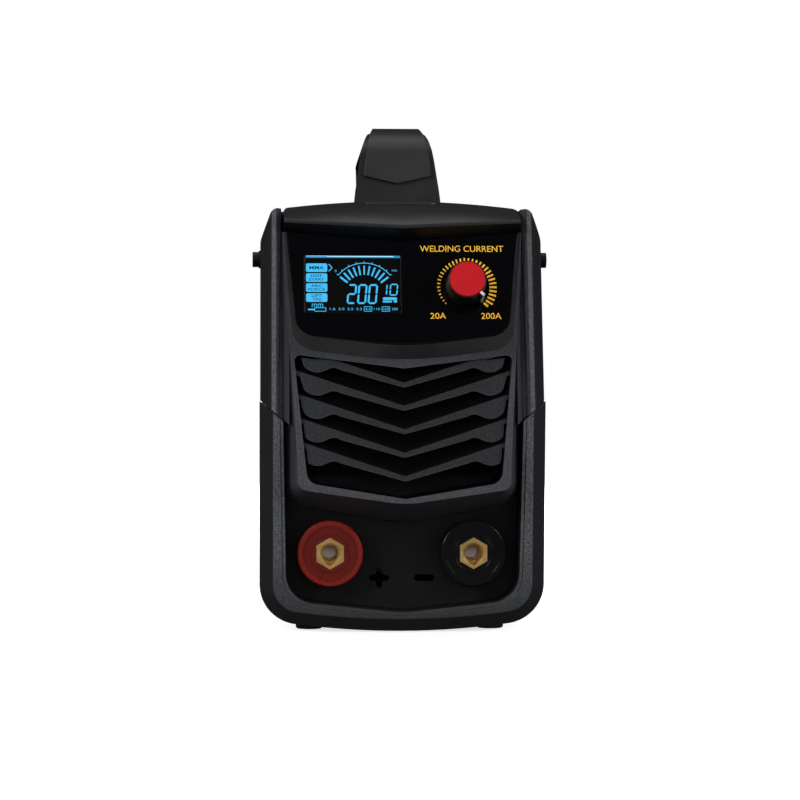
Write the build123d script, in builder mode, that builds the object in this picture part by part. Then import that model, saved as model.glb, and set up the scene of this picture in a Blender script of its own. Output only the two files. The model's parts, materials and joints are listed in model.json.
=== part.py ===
from build123d import *
import os
from math import cos, radians, sin, tan

# Stick welding inverter. Millimetres, +Z up, front towards -Y, +X to the right seen from the front.
# The origin is on the floor, under the middle of the whole machine.
os.makedirs("parts", exist_ok=True)

# ---------------------------------------------------------------- driving dimensions
rim_y = -145.0  # the most forward point of the front rim
body_half_width = 76.7
body_top = 228.7  # top of the ears and of the rear moulding
floor_line = -3.0  # where the two slopes of the curved belly would meet
belly_slope = 0.13
corner_radius = 22.0
shoulder_z = 210.6  # where the sides start to lean in
wall = 2.5  # moulded wall
sheet = 1.0  # folded steel
shell_gap = 0.4  # between the mouldings and the steel cover inside them

seam_z = 124.6  # outer end of the slanted seam between bezel and cheek
seam_slope = 0.83
seam_gap = 0.7

lower_lean = radians(5.7)  # the bezel leans back towards the floor
cheek_lean = tan(radians(12))  # the cheeks lean back towards the top, per mm of height
chamfer_depth = 9.0
rim_inset = 7.3  # from the silhouette to the textured rim band

keel = 0.105  # the mask runs back to the sides, per mm of width
mask_draft = 12.6
mask_base_y = rim_y + 32
mask_bend_z = 147.0
mask_bend_y = rim_y - 2
grille_lean = 0.237  # the grille leans forward towards the chin, per mm of height
panel_tilt = radians(12)  # display panel

louvre_count = 5
louvre_pitch = 12.35
louvre_low_z = 82.3

panel_y = rim_y + 35  # front face of the recessed socket panel
socket_x = 38.7
socket_z = 42.4
socket_stand = 15.0  # flange in front of the panel
bore_radius = 4.6

knob_x = 33.4
knob_z = 185.3

cover_y = 120.0  # half length of the steel body
rear_y = 145.0
rear_plate_y = 129.0  # inner face of the rear plate
rear_plate = 3.0
fan_z = 118.0
fan_size = 92.0
fan_bore = 43.0
fan_pitch = 41.25
foot_x = 49.6
foot_y = 99.0
handle_top = 279.4
handle_foot_y = 71.0
side_screw = (rim_y + 46, 202.0)  # y, z
screw_radius = 2.0  # shank of the small screws
side_hole = 2.6  # clearance hole of the side screws
across_all = 200  # a cutter wider than the machine
top_of_all = 300  # and one taller than it


# ---------------------------------------------------------------- planes and outlines
def at_y(y):
    """Plane across the machine at y, seen from the front."""
    return Plane.XZ.offset(-y)


def rim_plane(depth):
    """Plane parallel to the leaning face of the lower bezel, depth behind it."""
    y = rim_y + seam_z * tan(lower_lean) + depth
    return Plane(origin=(0, y, 0), x_dir=(1, 0, 0), z_dir=(0, -cos(lower_lean), -sin(lower_lean)))


window_y = rim_y + 7 + (knob_z - 155.4) * tan(panel_tilt)


def panel_plane(depth):
    """Plane parallel to the display window, depth behind its face; local y = 0 at knob height."""
    face_normal = Vector(0, -cos(panel_tilt), sin(panel_tilt))
    origin = Vector(0, window_y, knob_z) - face_normal * depth
    return Plane(origin=origin, x_dir=(1, 0, 0), z_dir=face_normal)


def on_panel(z):
    """Local height on the panel plane for a height above the floor."""
    return (z - knob_z) / cos(panel_tilt)


def body_outline(inset):
    """Silhouette of the body from the front, moved in by inset."""
    half = body_half_width
    with BuildSketch() as outline:
        with BuildLine():
            FilletPolyline(
                (0, floor_line),
                (half, floor_line + belly_slope * half),
                (half - 0.2, shoulder_z),
                (half - 6.9, body_top),
                (6.9 - half, body_top),
                (0.2 - half, shoulder_z),
                (-half, floor_line + belly_slope * half),
                radius=[420, corner_radius, 14, 5, 5, 14, corner_radius],
                close=True,
            )
        make_face()
        if inset:
            offset(amount=-inset, kind=Kind.INTERSECTION)
    return outline.sketch


def side_to_side(low_x, low_z, high_x, high_z, apex_z, corner, crown, top_corner=0):
    """Shield outline: flat or chevron top, sides from (high_x, high_z) to (low_x, low_z), V bottom."""
    with BuildSketch() as outline:
        with BuildLine():
            FilletPolyline(
                (0, apex_z),
                (low_x, low_z),
                (high_x, high_z),
                (-high_x, high_z),
                (-low_x, low_z),
                radius=[crown, corner, top_corner, top_corner, corner],
                close=True,
            )
        make_face()
    return outline.sketch


recess_outline = side_to_side(62.2, 18.0, 64.4, 150, 11.2, 16, 80)
band_outline = side_to_side(63.9, 16.1, 66.3, 152, 9.3, 17.5, 80)
mask_outline = side_to_side(65.3, 69.5, 67.1, 222, 58.5, 14.7, 60)
mask_sides = side_to_side(62.5, 50.0, 64.6, 224, 48.0, 1, 1)
frame_outline = side_to_side(58.6, 153.0, 64.6, 222, 144.9, 13, 200)
window_outline = side_to_side(56.3, on_panel(160.4), 62.6, on_panel(221), on_panel(154.6), 11, 200)


def grille_outline(inset):
    """Opening of the grille: chevron top and bottom."""
    with BuildSketch() as outline:
        with BuildLine():
            FilletPolyline(
                (0, 73.2),
                (51.2, 81.4),
                (58.4, 149.4),
                (0, 141.8),
                (-58.4, 149.4),
                (-51.2, 81.4),
                radius=[4, 7, 3, 4, 3, 7],
                close=True,
            )
        make_face()
        if inset:
            offset(amount=-inset, kind=Kind.INTERSECTION)
    return outline.sketch


def mask_profile(depth):
    """Side profile of everything behind the keeled mask face, moved back by depth."""
    bend_y = mask_bend_y + depth
    low_z = 40.0
    high_z = 240.0
    back_y = rim_y + 70
    with BuildSketch() as profile:
        with BuildLine():
            Polyline(
                (bend_y - grille_lean * (mask_bend_z - low_z), low_z),
                (bend_y, mask_bend_z),
                (bend_y + tan(panel_tilt) * (high_z - mask_bend_z), high_z),
                (back_y, high_z),
                (back_y, low_z),
                close=True,
            )
        make_face()
    return profile.sketch


def behind_face(depth):
    """Solid behind the keeled face: the profile swept to both sides and back with them."""
    reach = 80
    with BuildPart() as half:
        with BuildSketch(Plane.YZ):
            add(mask_profile(depth))
        extrude(amount=reach, dir=(1, keel, 0))
        mirror(about=Plane.YZ)
    return half.part


def shield_shell(depth):
    """Drafted body of the mask behind its face, walls moved in by depth."""
    with BuildSketch() as base:
        add(mask_outline)
        if depth:
            offset(amount=-depth, kind=Kind.INTERSECTION)
    with BuildSketch() as sides:
        add(mask_sides)
        if depth:
            offset(amount=-depth, kind=Kind.INTERSECTION)
    with BuildPart() as drafted:
        with BuildSketch(at_y(mask_base_y)):
            add(base.sketch)
        extrude(amount=55, taper=mask_draft)
        with BuildSketch(at_y(mask_base_y)):
            add(base.sketch)
        extrude(amount=-(panel_y - mask_base_y))
        with BuildSketch(at_y(panel_y)):
            add(sides.sketch)
        extrude(amount=90, mode=Mode.INTERSECT)
    return drafted.part


# ---------------------------------------------------------------- lower bezel
outline_full = body_outline(0)
outline_rim = body_outline(rim_inset)
outline_shell = body_outline(wall)
bezel_depth = 36.0

with BuildPart() as lower_bezel:
    with BuildSketch(rim_plane(chamfer_depth)):
        add(outline_full)
    with BuildSketch(rim_plane(0)):
        add(outline_rim)
    loft()
    with BuildSketch(rim_plane(chamfer_depth)):
        add(outline_full)
    extrude(amount=60, dir=(0, 1, 0))
    # the recess, and the small step between the two rim bands
    with BuildSketch(rim_plane(-2)):
        add(recess_outline)
    extrude(amount=110, dir=(0, 1, 0), mode=Mode.SUBTRACT)
    with BuildSketch(rim_plane(0.9)):
        add(band_outline)
    extrude(amount=10, dir=(0, -1, 0), mode=Mode.SUBTRACT)
    # hollow behind the rim
    with BuildSketch(rim_plane(chamfer_depth + 2)):
        add(outline_shell)
    extrude(amount=80, dir=(0, 1, 0), mode=Mode.SUBTRACT)
    with BuildSketch(at_y(rim_y + bezel_depth)):
        Rectangle(across_all, 2 * top_of_all)
    extrude(amount=-100, mode=Mode.SUBTRACT)
    # slanted seam
    with BuildSketch(at_y(rim_y - 10)):
        with BuildLine():
            Polyline(
                (-95, seam_z + seam_slope * (95 - body_half_width)),
                (-60, seam_z - seam_slope * (body_half_width - 60)),
                (60, seam_z - seam_slope * (body_half_width - 60)),
                (95, seam_z + seam_slope * (95 - body_half_width)),
                (95, 300),
                (-95, 300),
                close=True,
            )
        make_face()
    extrude(amount=-120, mode=Mode.SUBTRACT)
lower_bezel.part.label = "lower_bezel"
export_step(lower_bezel.part, "parts/lower_bezel.step")


# ---------------------------------------------------------------- cheeks
cheek_start_z = 100.0
cheek_bottom_y = rim_y - (120 - cheek_start_z) * cheek_lean


def cheek_prism(points):
    """Closed section in plan, from (x, depth) pairs, carried up along the lean."""
    with BuildPart() as prism:
        with BuildSketch(Plane.XY.offset(cheek_start_z)):
            with BuildLine():
                Polyline([(x, cheek_bottom_y + depth) for x, depth in points], close=True)
            make_face()
        extrude(amount=140, dir=(0, cheek_lean, 1))
    return prism.part


def column(outline, first_y, last_y):
    """Outline carried along y."""
    with BuildPart() as prism:
        with BuildSketch(at_y(first_y)):
            add(outline)
        extrude(amount=first_y - last_y)
    return prism.part


cheek_back = 42.0
cheek_outside = [(76.3, cheek_back), (76.3, 13), (75.9, 10), (74.8, 6.6), (73.0, 3.6), (70.4, 1.2),
                 (69.7, 0.8), (67.8, 0.4), (65.0, 6.0), (65.0, cheek_back)]
cheek_inside = [(73.8, 60), (73.8, 14), (72.6, 9.6), (70.6, 5.8), (69.2, 4.6), (68.3, 7.0),
                (68.3, 9.0), (60.0, 9.0), (60.0, 60)]
cheek_reach = (rim_y - 20, rim_y + 120)
cheek_hollow = cheek_prism(cheek_inside) & column(outline_shell, *cheek_reach)

with BuildPart() as below_seam:
    with BuildSketch(at_y(rim_y - 10)):
        with BuildLine():
            Polyline(
                (50, seam_z + seam_gap - seam_slope * (body_half_width - 50)),
                (95, seam_z + seam_gap + seam_slope * (95 - body_half_width)),
                (95, 60),
                (50, 60),
                close=True,
            )
        make_face()
    extrude(amount=-120)

with BuildPart() as right_cheek:
    add(cheek_prism(cheek_outside))
    add(column(outline_full, *cheek_reach), mode=Mode.INTERSECT)
    add(cheek_hollow, mode=Mode.SUBTRACT)
    # the inner edge widens the gap to the mask on the way down
    with BuildSketch(at_y(rim_y - 10)):
        with BuildLine():
            Polyline((64, 232), (65, 228), (66.4, 150), (66.6, 100), (64, 100), close=True)
        make_face()
    extrude(amount=-120, mode=Mode.SUBTRACT)
    add(below_seam.part, mode=Mode.SUBTRACT)
    with BuildSketch(Plane.YZ.offset(60)):
        with Locations(side_screw):
            Circle(side_hole)
    extrude(amount=30, mode=Mode.SUBTRACT)
right_cheek.part.label = "right_cheek"
export_step(right_cheek.part, "parts/right_cheek.step")

with BuildPart() as left_cheek:
    add(mirror(right_cheek.part, about=Plane.YZ, mode=Mode.PRIVATE))
left_cheek.part.label = "left_cheek"
export_step(left_cheek.part, "parts/left_cheek.step")


# ---------------------------------------------------------------- hood over the display
hood_half_width = 63.6
hood_rear = 64.0
hood_bottom = 226.1
crest_z = 234.5
crest_drop = 4.0  # from the middle to the ends
pocket_depth = 0.9


def hood_section(x):
    """Side section of the hood at x: V-shaped lip and underside, arched crest."""
    out = x / hood_half_width
    crest = crest_z - crest_drop * out**2
    lip_y = rim_y + 6 + 6.5 * out
    lip_z = 216.5 + 3.4 * out
    top_front = (lip_y, lip_z + 1.9 - 0.2 * out)
    with BuildSketch(Plane.YZ.offset(x)) as section:
        with BuildLine():
            Polyline(
                top_front,
                (lip_y, lip_z),
                (rim_y + 18.6 + 2.9 * out, 211.2 + 4.5 * out),
                (rim_y + 26 + 3 * out, 211.2 + 4.5 * out),
                (rim_y + 30 + 2 * out, hood_bottom),
                (rim_y + hood_rear, hood_bottom),
                (rim_y + hood_rear, crest - 0.3),
            )
            Spline(
                (rim_y + hood_rear, crest - 0.3),
                (rim_y + 48, crest - 0.1),
                (rim_y + 31 + 3 * out, crest - 3.0 + 1.2 * out),
                (rim_y + 15 + 5.5 * out, crest - 9.6 + 4.2 * out),
                top_front,
            )
        make_face()
    return section.sketch


with BuildPart() as hood_block:
    for station in (0, hood_half_width / 2, hood_half_width):
        add(hood_section(station))
    loft()
    mirror(about=Plane.YZ)

with BuildPart() as pocket_column:
    with BuildSketch(Plane.XY.offset(215)):
        with Locations((0, rim_y + 31)):
            RectangleRounded(42, 17, 4.5)
    extrude(amount=30)
hood_pocket = pocket_column.part - Pos(0, 0, -pocket_depth) * hood_block.part

with BuildPart() as hood:
    add(hood_block.part)
    # chamfered upper corners at both ends
    with BuildSketch(at_y(rim_y - 10)):
        for side in (-1, 1):
            with BuildLine():
                Polyline(
                    (side * (hood_half_width + 1), 226.5),
                    (side * (hood_half_width - 2.6), 232),
                    (side * (hood_half_width + 1), 232),
                    close=True,
                )
            make_face()
    extrude(amount=-100, mode=Mode.SUBTRACT)
    # low bars behind the ears that close the gaps beside the hood
    with BuildSketch(Plane.XY.offset(hood_bottom)):
        with Locations((-49, rim_y + 67.5), (49, rim_y + 67.5)):
            Rectangle(42, 3.6)
        with Locations((-44, rim_y + 65), (44, rim_y + 65)):
            Rectangle(32, 6)
    extrude(amount=3.8)
    # shallow pocket that follows the crest
    add(hood_pocket, mode=Mode.SUBTRACT)
hood.part.label = "hood"
export_step(hood.part, "parts/hood.step")


# ---------------------------------------------------------------- front mask
face_reach = (rim_y - 60, rim_y + 60)  # from in front of the face to behind it
grille_reach = (rim_y - 60, rim_y + 24)
mask_wall = 2.6

with BuildPart() as under_hood:
    with BuildSketch(at_y(rim_y - 60)):
        with BuildLine():
            Polyline((0, 211.0), (70, 215.9), (70, 260), (-70, 260), (-70, 215.9), close=True)
        make_face()
    extrude(amount=-140)

mask_hollow = shield_shell(mask_wall) & behind_face(3)
right_flank = cheek_prism(
    [(60.8, -0.6), (64.7, 9.4), (67.9, 9.4), (67.9, 11.4), (61.2, 11.4), (60.6, 4.0)]
) - below_seam.part

with BuildPart() as front_mask:
    add(shield_shell(0))
    add(behind_face(0), mode=Mode.INTERSECT)
    add(mask_hollow, mode=Mode.SUBTRACT)
    # sloping flanks that run on behind the cheeks
    add(right_flank)
    add(mirror(right_flank, about=Plane.YZ, mode=Mode.PRIVATE))
    add(column(grille_outline(0), *face_reach), mode=Mode.SUBTRACT)
    add(column(frame_outline, *face_reach), mode=Mode.SUBTRACT)
    add(under_hood.part, mode=Mode.SUBTRACT)
front_mask.part.label = "front_mask"
export_step(front_mask.part, "parts/front_mask.step")


# ---------------------------------------------------------------- display frame and window
with BuildPart() as display_frame:
    add(column(frame_outline, *face_reach))
    add(behind_face(-0.4), mode=Mode.INTERSECT)
    with BuildSketch(panel_plane(0)):
        add(window_outline)
    extrude(amount=40, taper=-23, mode=Mode.SUBTRACT)
    with BuildSketch(panel_plane(0)):
        add(window_outline)
    extrude(amount=-2, mode=Mode.SUBTRACT)
    with BuildSketch(panel_plane(2)):
        add(window_outline)
        offset(amount=-2, kind=Kind.INTERSECTION)
    extrude(amount=-20, mode=Mode.SUBTRACT)
    with BuildSketch(panel_plane(6)):
        Rectangle(300, 400)
    extrude(amount=-80, mode=Mode.SUBTRACT)
    add(under_hood.part, mode=Mode.SUBTRACT)
display_frame.part.label = "display_frame"
export_step(display_frame.part, "parts/display_frame.step")

lcd_centre = (-26.85, on_panel(187.5))
lcd_size = (51.7, 32.3)

with BuildPart() as display_window:
    with BuildSketch(panel_plane(0)):
        add(window_outline)
        with Locations(lcd_centre):
            Rectangle(*lcd_size, mode=Mode.SUBTRACT)
        with Locations((knob_x, 0)):
            Circle(4.0, mode=Mode.SUBTRACT)
    extrude(amount=-2)
    add(under_hood.part, mode=Mode.SUBTRACT)
display_window.part.label = "display_window"
export_step(display_window.part, "parts/display_window.step")

with BuildPart() as lcd_module:
    with BuildSketch(panel_plane(0.7)):
        with Locations(lcd_centre):
            Rectangle(lcd_size[0] - 0.4, lcd_size[1] - 0.4)
    extrude(amount=-1.6)
    with BuildSketch(panel_plane(2.2)):
        with Locations(lcd_centre):
            Rectangle(lcd_size[0] + 5, lcd_size[1] + 3)
    extrude(amount=-6)
lcd_module.part.label = "lcd_module"
export_step(lcd_module.part, "parts/lcd_module.step")


# ---------------------------------------------------------------- louvres
def louvre_faces():
    """Front faces of all louvres: a strip that widens outwards and ends in a paddle."""
    with BuildSketch() as faces:
        for index in range(louvre_count):
            low = louvre_low_z + index * louvre_pitch
            for side in (-1, 1):
                with BuildLine():
                    Polyline((0, low), (0, low + 2.5), (side * 56, low + 21.0), (side * 53, low + 11.4))
                    Spline(
                        (side * 53, low + 11.4),
                        (side * 48.5, low + 8.5),
                        (side * 44.5, low + 8.2),
                        (side * 38.6, low + 10.3),
                        (side * 34.0, low + 9.5),
                    )
                    Line((side * 34.0, low + 9.5), (0, low))
                make_face()
    return faces.sketch


face_slab = behind_face(3.4) - behind_face(5.8)
tub = column(grille_outline(0), *grille_reach)
tub_shell = column(grille_outline(-1.8), *grille_reach) - tub
tub_ring = tub_shell & behind_face(3.05) & shield_shell(mask_wall + 0.05)
paddles = column(louvre_faces(), *grille_reach) & column(grille_outline(1.3), *grille_reach)
blade_travel = (1, keel + grille_lean * 0.33, 0.33)

with BuildPart() as grille_louvres:
    for index in range(louvre_count):
        low = louvre_low_z + index * louvre_pitch
        front = mask_bend_y - grille_lean * (mask_bend_z - low) + 3.8
        with BuildSketch(Plane.YZ):
            with BuildLine():
                Polyline(
                    (front, low + 0.2),
                    (front, low + 2.5),
                    (front + 14, low + 10.0),
                    (front + 14, low + 7.8),
                    (front + 1.4, low + 0.2),
                    close=True,
                )
            make_face()
        extrude(amount=70, dir=blade_travel)
    mirror(about=Plane.YZ)
    add(tub, mode=Mode.INTERSECT)
    add(paddles & face_slab)
    add(tub_ring)
grille_louvres.part.label = "grille_louvres"
export_step(grille_louvres.part, "parts/grille_louvres.step")


# ---------------------------------------------------------------- front panel with the socket recess
air_z = 112.0  # middle of the air opening behind the louvres
air_size = (100, 56)
panel_thickness = 3.0
collar_radius = 11.0
hex_across = 14.8
plus_x = 11.8
minus_x = 12.9
sign_z = 28.2
socket_spots = [(-socket_x, socket_z), (socket_x, socket_z)]

with BuildPart() as front_panel:
    with BuildSketch(at_y(panel_y)):
        add(body_outline(4.4))
        with Locations((0, air_z)):
            Rectangle(*air_size, mode=Mode.SUBTRACT)
        with Locations((0, 188)):
            Rectangle(122, 60, mode=Mode.SUBTRACT)
        with Locations((0, 226)):
            Rectangle(200, 24, mode=Mode.SUBTRACT)
        with Locations(*socket_spots):
            Circle(collar_radius, mode=Mode.SUBTRACT)
        with Locations((-plus_x, sign_z)):
            SlotOverall(11, 3.3, mode=Mode.SUBTRACT)
            SlotOverall(11, 3.3, rotation=90, mode=Mode.SUBTRACT)
        with Locations((minus_x, sign_z)):
            SlotOverall(11.2, 3.6, mode=Mode.SUBTRACT)
    extrude(amount=-panel_thickness)
    # walls of the recess, up to the back of the bezel
    with BuildSketch(at_y(panel_y)):
        add(side_to_side(64.5, 16.2, 66.7, 150, 8.9, 18, 80))
        add(side_to_side(62.5, 18.0, 64.7, 150, 11.2, 16, 80), mode=Mode.SUBTRACT)
        with Locations((0, 160)):
            Rectangle(200, 94, mode=Mode.SUBTRACT)
    extrude(amount=24)
    with BuildSketch(rim_plane(chamfer_depth + 2)):
        Rectangle(400, 600)
    extrude(amount=60, dir=(0, -1, 0), mode=Mode.SUBTRACT)
front_panel.part.label = "front_panel"
export_step(front_panel.part, "parts/front_panel.step")

with BuildPart() as dust_filter:
    with BuildSketch(at_y(panel_y + panel_thickness)):
        with Locations((0, air_z)):
            RectangleRounded(air_size[0] + 10, air_size[1] + 10, 3)
    extrude(amount=-6)
dust_filter.part.label = "dust_filter"
export_step(dust_filter.part, "parts/dust_filter.step")


# ---------------------------------------------------------------- output sockets
bore_depth = 21.0
contact_rear = 14.0  # behind the panel face
bolt_radius = 4.0
flange_radius = 17.8
hex_depth = 12.0
neck_radius = 7.0
key_width = 4.4
key_depth = 11.0
bar_thickness = 2.5
bar_width = 16.0
bolt_rear = contact_rear + bar_thickness  # under the head of the bolt
bolt_end = bore_depth - socket_stand + 0.4  # just behind the floor of the bore
sockets = {"positive": -socket_x, "negative": socket_x}

for pole, x in sockets.items():
    spot = (x, socket_z)
    with BuildPart() as socket_contact:
        with BuildSketch(at_y(panel_y - socket_stand)):
            with Locations(spot):
                RegularPolygon(hex_across / 2, 6, major_radius=False, rotation=30)
        extrude(amount=-hex_depth)
        with BuildSketch(at_y(panel_y - socket_stand + hex_depth)):
            with Locations(spot):
                Circle(neck_radius)
        extrude(amount=-(socket_stand - hex_depth + contact_rear))
        with BuildSketch(at_y(panel_y - socket_stand)):
            with Locations(spot):
                Circle(bore_radius)
        extrude(amount=-bore_depth, mode=Mode.SUBTRACT)
        with BuildSketch(at_y(panel_y - socket_stand)):
            with Locations(spot):
                Circle(bore_radius + 1.1)
        extrude(amount=-1.1, taper=45, mode=Mode.SUBTRACT)
        with BuildSketch(at_y(panel_y - socket_stand)):
            with Locations((x, socket_z - 3.2)):
                SlotOverall(6.4, key_width, rotation=90)
        extrude(amount=-key_depth, mode=Mode.SUBTRACT)
        with BuildSketch(at_y(panel_y)):
            with Locations(spot):
                Circle(bolt_radius)
        extrude(amount=-contact_rear, mode=Mode.SUBTRACT)
    socket_contact.part.label = pole + "_socket_contact"
    export_step(socket_contact.part, "parts/" + pole + "_socket_contact.step")

    with BuildPart() as socket_insulator:
        with BuildSketch(at_y(panel_y)):
            with Locations(spot):
                Circle(flange_radius)
        extrude(amount=socket_stand)
        fillet(socket_insulator.edges().filter_by(GeomType.CIRCLE).sort_by(Axis.Y)[0], 0.9)
        with BuildSketch(at_y(panel_y)):
            with Locations(spot):
                Circle(collar_radius)
        extrude(amount=-9)
        with BuildSketch(at_y(panel_y - socket_stand)):
            with Locations(spot):
                Circle(14.7)
                Circle(10.4, mode=Mode.SUBTRACT)
        extrude(amount=-0.9, mode=Mode.SUBTRACT)
        with BuildSketch(at_y(panel_y - socket_stand)):
            with Locations(spot):
                Circle(9.9)
                RegularPolygon(hex_across / 2, 6, major_radius=False, rotation=30, mode=Mode.SUBTRACT)
        extrude(amount=-0.6, mode=Mode.SUBTRACT)
        with BuildSketch(at_y(panel_y - socket_stand)):
            with Locations(spot):
                RegularPolygon(hex_across / 2, 6, major_radius=False, rotation=30)
        extrude(amount=-hex_depth, mode=Mode.SUBTRACT)
        with BuildSketch(at_y(panel_y - socket_stand)):
            with Locations(spot):
                Circle(neck_radius)
        extrude(amount=-30, mode=Mode.SUBTRACT)
    socket_insulator.part.label = pole + "_socket_insulator"
    export_step(socket_insulator.part, "parts/" + pole + "_socket_insulator.step")

    # bus bar: a tab clamped behind the contact, a foot on the circuit board
    with BuildPart() as busbar:
        with BuildSketch(at_y(panel_y + contact_rear)):
            with Locations((x, 42.3)):
                Rectangle(bar_width, 21.4)
            with Locations(spot):
                Circle(bolt_radius, mode=Mode.SUBTRACT)
        extrude(amount=-bar_thickness)
        with BuildSketch(at_y(panel_y + contact_rear)):
            with Locations((x, 32.85)):
                Rectangle(bar_width, bar_thickness)
        extrude(amount=-32)
    busbar.part.label = pole + "_busbar"
    export_step(busbar.part, "parts/" + pole + "_busbar.step")

with BuildPart() as socket_nuts:
    with BuildSketch(at_y(panel_y + 3)):
        with Locations(*socket_spots):
            RegularPolygon(14, 6, major_radius=False)
            Circle(collar_radius, mode=Mode.SUBTRACT)
    extrude(amount=-5)
socket_nuts.part.label = "socket_nuts"
export_step(socket_nuts.part, "parts/socket_nuts.step")

with BuildPart() as socket_bolts:
    with BuildSketch(at_y(panel_y + bolt_rear)):
        with Locations(*socket_spots):
            RegularPolygon(6.5, 6, major_radius=False)
    extrude(amount=-5.5)
    with BuildSketch(at_y(panel_y + bolt_rear)):
        with Locations(*socket_spots):
            Circle(bolt_radius)
    extrude(amount=bolt_rear - bolt_end)
    chamfer(socket_bolts.edges().filter_by(GeomType.CIRCLE).group_by(Axis.Y)[0], 0.5)
socket_bolts.part.label = "socket_bolts"
export_step(socket_bolts.part, "parts/socket_bolts.step")


# ---------------------------------------------------------------- knob and encoder
knob_base = 2.4  # in front of the window
knob_height = 16.0
cap_radius = 9.45
shaft_radius = 3.0
running = 0.05
board_depth = 12.0
pointer_angle = radians(135)  # clockwise from the top, at the 200 end of the scale
pointer_dir = (sin(pointer_angle), cos(pointer_angle))

with BuildPart() as knob_pointer:
    with BuildSketch(panel_plane(-knob_base - 1.0)):
        with Locations((knob_x + 11.1 * pointer_dir[0], 11.1 * pointer_dir[1])):
            Rectangle(2.6, 1.5, rotation=-45)
    extrude(amount=knob_height - 0.4)
knob_pointer.part.label = "knob_pointer"
export_step(knob_pointer.part, "parts/knob_pointer.step")

with BuildPart() as control_knob:
    with BuildSketch(panel_plane(-knob_base)):
        with Locations((knob_x, 0)):
            Circle(10.65)
    extrude(amount=knob_height, taper=1.6)
    fillet(control_knob.edges().filter_by(GeomType.CIRCLE).sort_by(Axis.Y)[0], 0.5)
    # grip flutes round the skirt
    with BuildSketch(panel_plane(-knob_base)):
        with Locations((knob_x, 0)):
            with PolarLocations(10.9, 28):
                Circle(0.55)
    extrude(amount=knob_height - 2.5, mode=Mode.SUBTRACT)
    # index rib that carries the pointer line
    with BuildSketch(panel_plane(-knob_base)):
        with Locations((knob_x + 10.2 * pointer_dir[0], 10.2 * pointer_dir[1])):
            Rectangle(4.0, 3.0, rotation=-45)
    extrude(amount=knob_height - 0.4)
    with BuildSketch(panel_plane(-knob_base - knob_height + 1.2)):
        with Locations((knob_x, 0)):
            Circle(cap_radius)
    extrude(amount=5, mode=Mode.SUBTRACT)
    with BuildSketch(panel_plane(-knob_base)):
        with Locations((knob_x, 0)):
            Circle(shaft_radius)
    extrude(amount=12, mode=Mode.SUBTRACT)
    add(knob_pointer.part, mode=Mode.SUBTRACT)
control_knob.part.label = "control_knob"
export_step(control_knob.part, "parts/control_knob.step")

with BuildPart() as knob_cap:
    with BuildSketch(panel_plane(-knob_base - knob_height + 1.2)):
        with Locations((knob_x, 0)):
            Circle(cap_radius)
    extrude(amount=2.0)
    fillet(knob_cap.edges().filter_by(GeomType.CIRCLE).sort_by(Axis.Y)[0], 0.5)
knob_cap.part.label = "knob_cap"
export_step(knob_cap.part, "parts/knob_cap.step")

with BuildPart() as encoder_shaft:
    with BuildSketch(panel_plane(board_depth - 1.2)):
        with Locations((knob_x, 0)):
            Circle(shaft_radius)
    extrude(amount=board_depth - 1.2 + knob_base + 12)
encoder_shaft.part.label = "encoder_shaft"
export_step(encoder_shaft.part, "parts/encoder_shaft.step")

with BuildPart() as encoder_plunger:
    with BuildSketch(panel_plane(board_depth - 1.2)):
        with Locations((knob_x, 0)):
            Circle(4.6)
            Circle(shaft_radius + running, mode=Mode.SUBTRACT)
    extrude(amount=6)
encoder_plunger.part.label = "encoder_plunger"
export_step(encoder_plunger.part, "parts/encoder_plunger.step")

with BuildPart() as encoder_body:
    with BuildSketch(panel_plane(board_depth)):
        with Locations((knob_x, 0)):
            Rectangle(14, 14)
            Circle(4.6 + running, mode=Mode.SUBTRACT)
    extrude(amount=8)
encoder_body.part.label = "encoder_body"
export_step(encoder_body.part, "parts/encoder_body.step")

with BuildPart() as control_board:
    with BuildSketch(panel_plane(board_depth)):
        Rectangle(112, 42)
    extrude(amount=-1.6)
    with BuildSketch(panel_plane(board_depth)):
        with Locations((-26.85, 15), (-26.85, -15)):
            Rectangle(44, 4)
    extrude(amount=board_depth - 8.2)
    with BuildSketch(panel_plane(board_depth)):
        with Locations((14, 8)):
            Rectangle(9, 9)
        with Locations((12, -10), (18, -10), (50, 12)):
            Rectangle(4, 6)
    extrude(amount=2)
control_board.part.label = "control_board"
export_step(control_board.part, "parts/control_board.step")


# ---------------------------------------------------------------- steel body
cover_bottom = 30.0
handle_screw_spots = [(a, b) for a in (-13, 13) for b in (-handle_foot_y, handle_foot_y)]
outline_cover = body_outline(wall + shell_gap)
outline_cover_in = body_outline(wall + shell_gap + sheet)

with BuildPart() as metal_cover:
    with BuildSketch(at_y(-cover_y)):
        add(outline_cover)
        add(outline_cover_in, mode=Mode.SUBTRACT)
        Rectangle(across_all, 2 * cover_bottom, mode=Mode.SUBTRACT)
    extrude(amount=-2 * cover_y)
    # the front edge leans back with the cheeks
    with BuildSketch(Plane.YZ.offset(-across_all / 2)):
        with BuildLine():
            Polyline((-cover_y, 120), (-cover_y + 110 * cheek_lean, 230), (-cover_y - 5, 230), close=True)
        make_face()
    extrude(amount=across_all, mode=Mode.SUBTRACT)
    # ventilation slots in both sides
    with BuildSketch(Plane.YZ.offset(-across_all / 2)):
        for row in range(2):
            for column_index in range(9):
                with Locations((-52 + 13 * column_index, 70 + 52 * row)):
                    SlotOverall(38, 4.6, rotation=72)
    extrude(amount=across_all, mode=Mode.SUBTRACT)
    with BuildSketch(Plane.YZ.offset(-across_all / 2)):
        with Locations(side_screw):
            Circle(side_hole)
    extrude(amount=across_all, mode=Mode.SUBTRACT)
    with BuildSketch(Plane.XY.offset(212)):
        with Locations(*handle_screw_spots):
            Circle(screw_radius)
    extrude(amount=30, mode=Mode.SUBTRACT)
metal_cover.part.label = "metal_cover"
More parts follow.
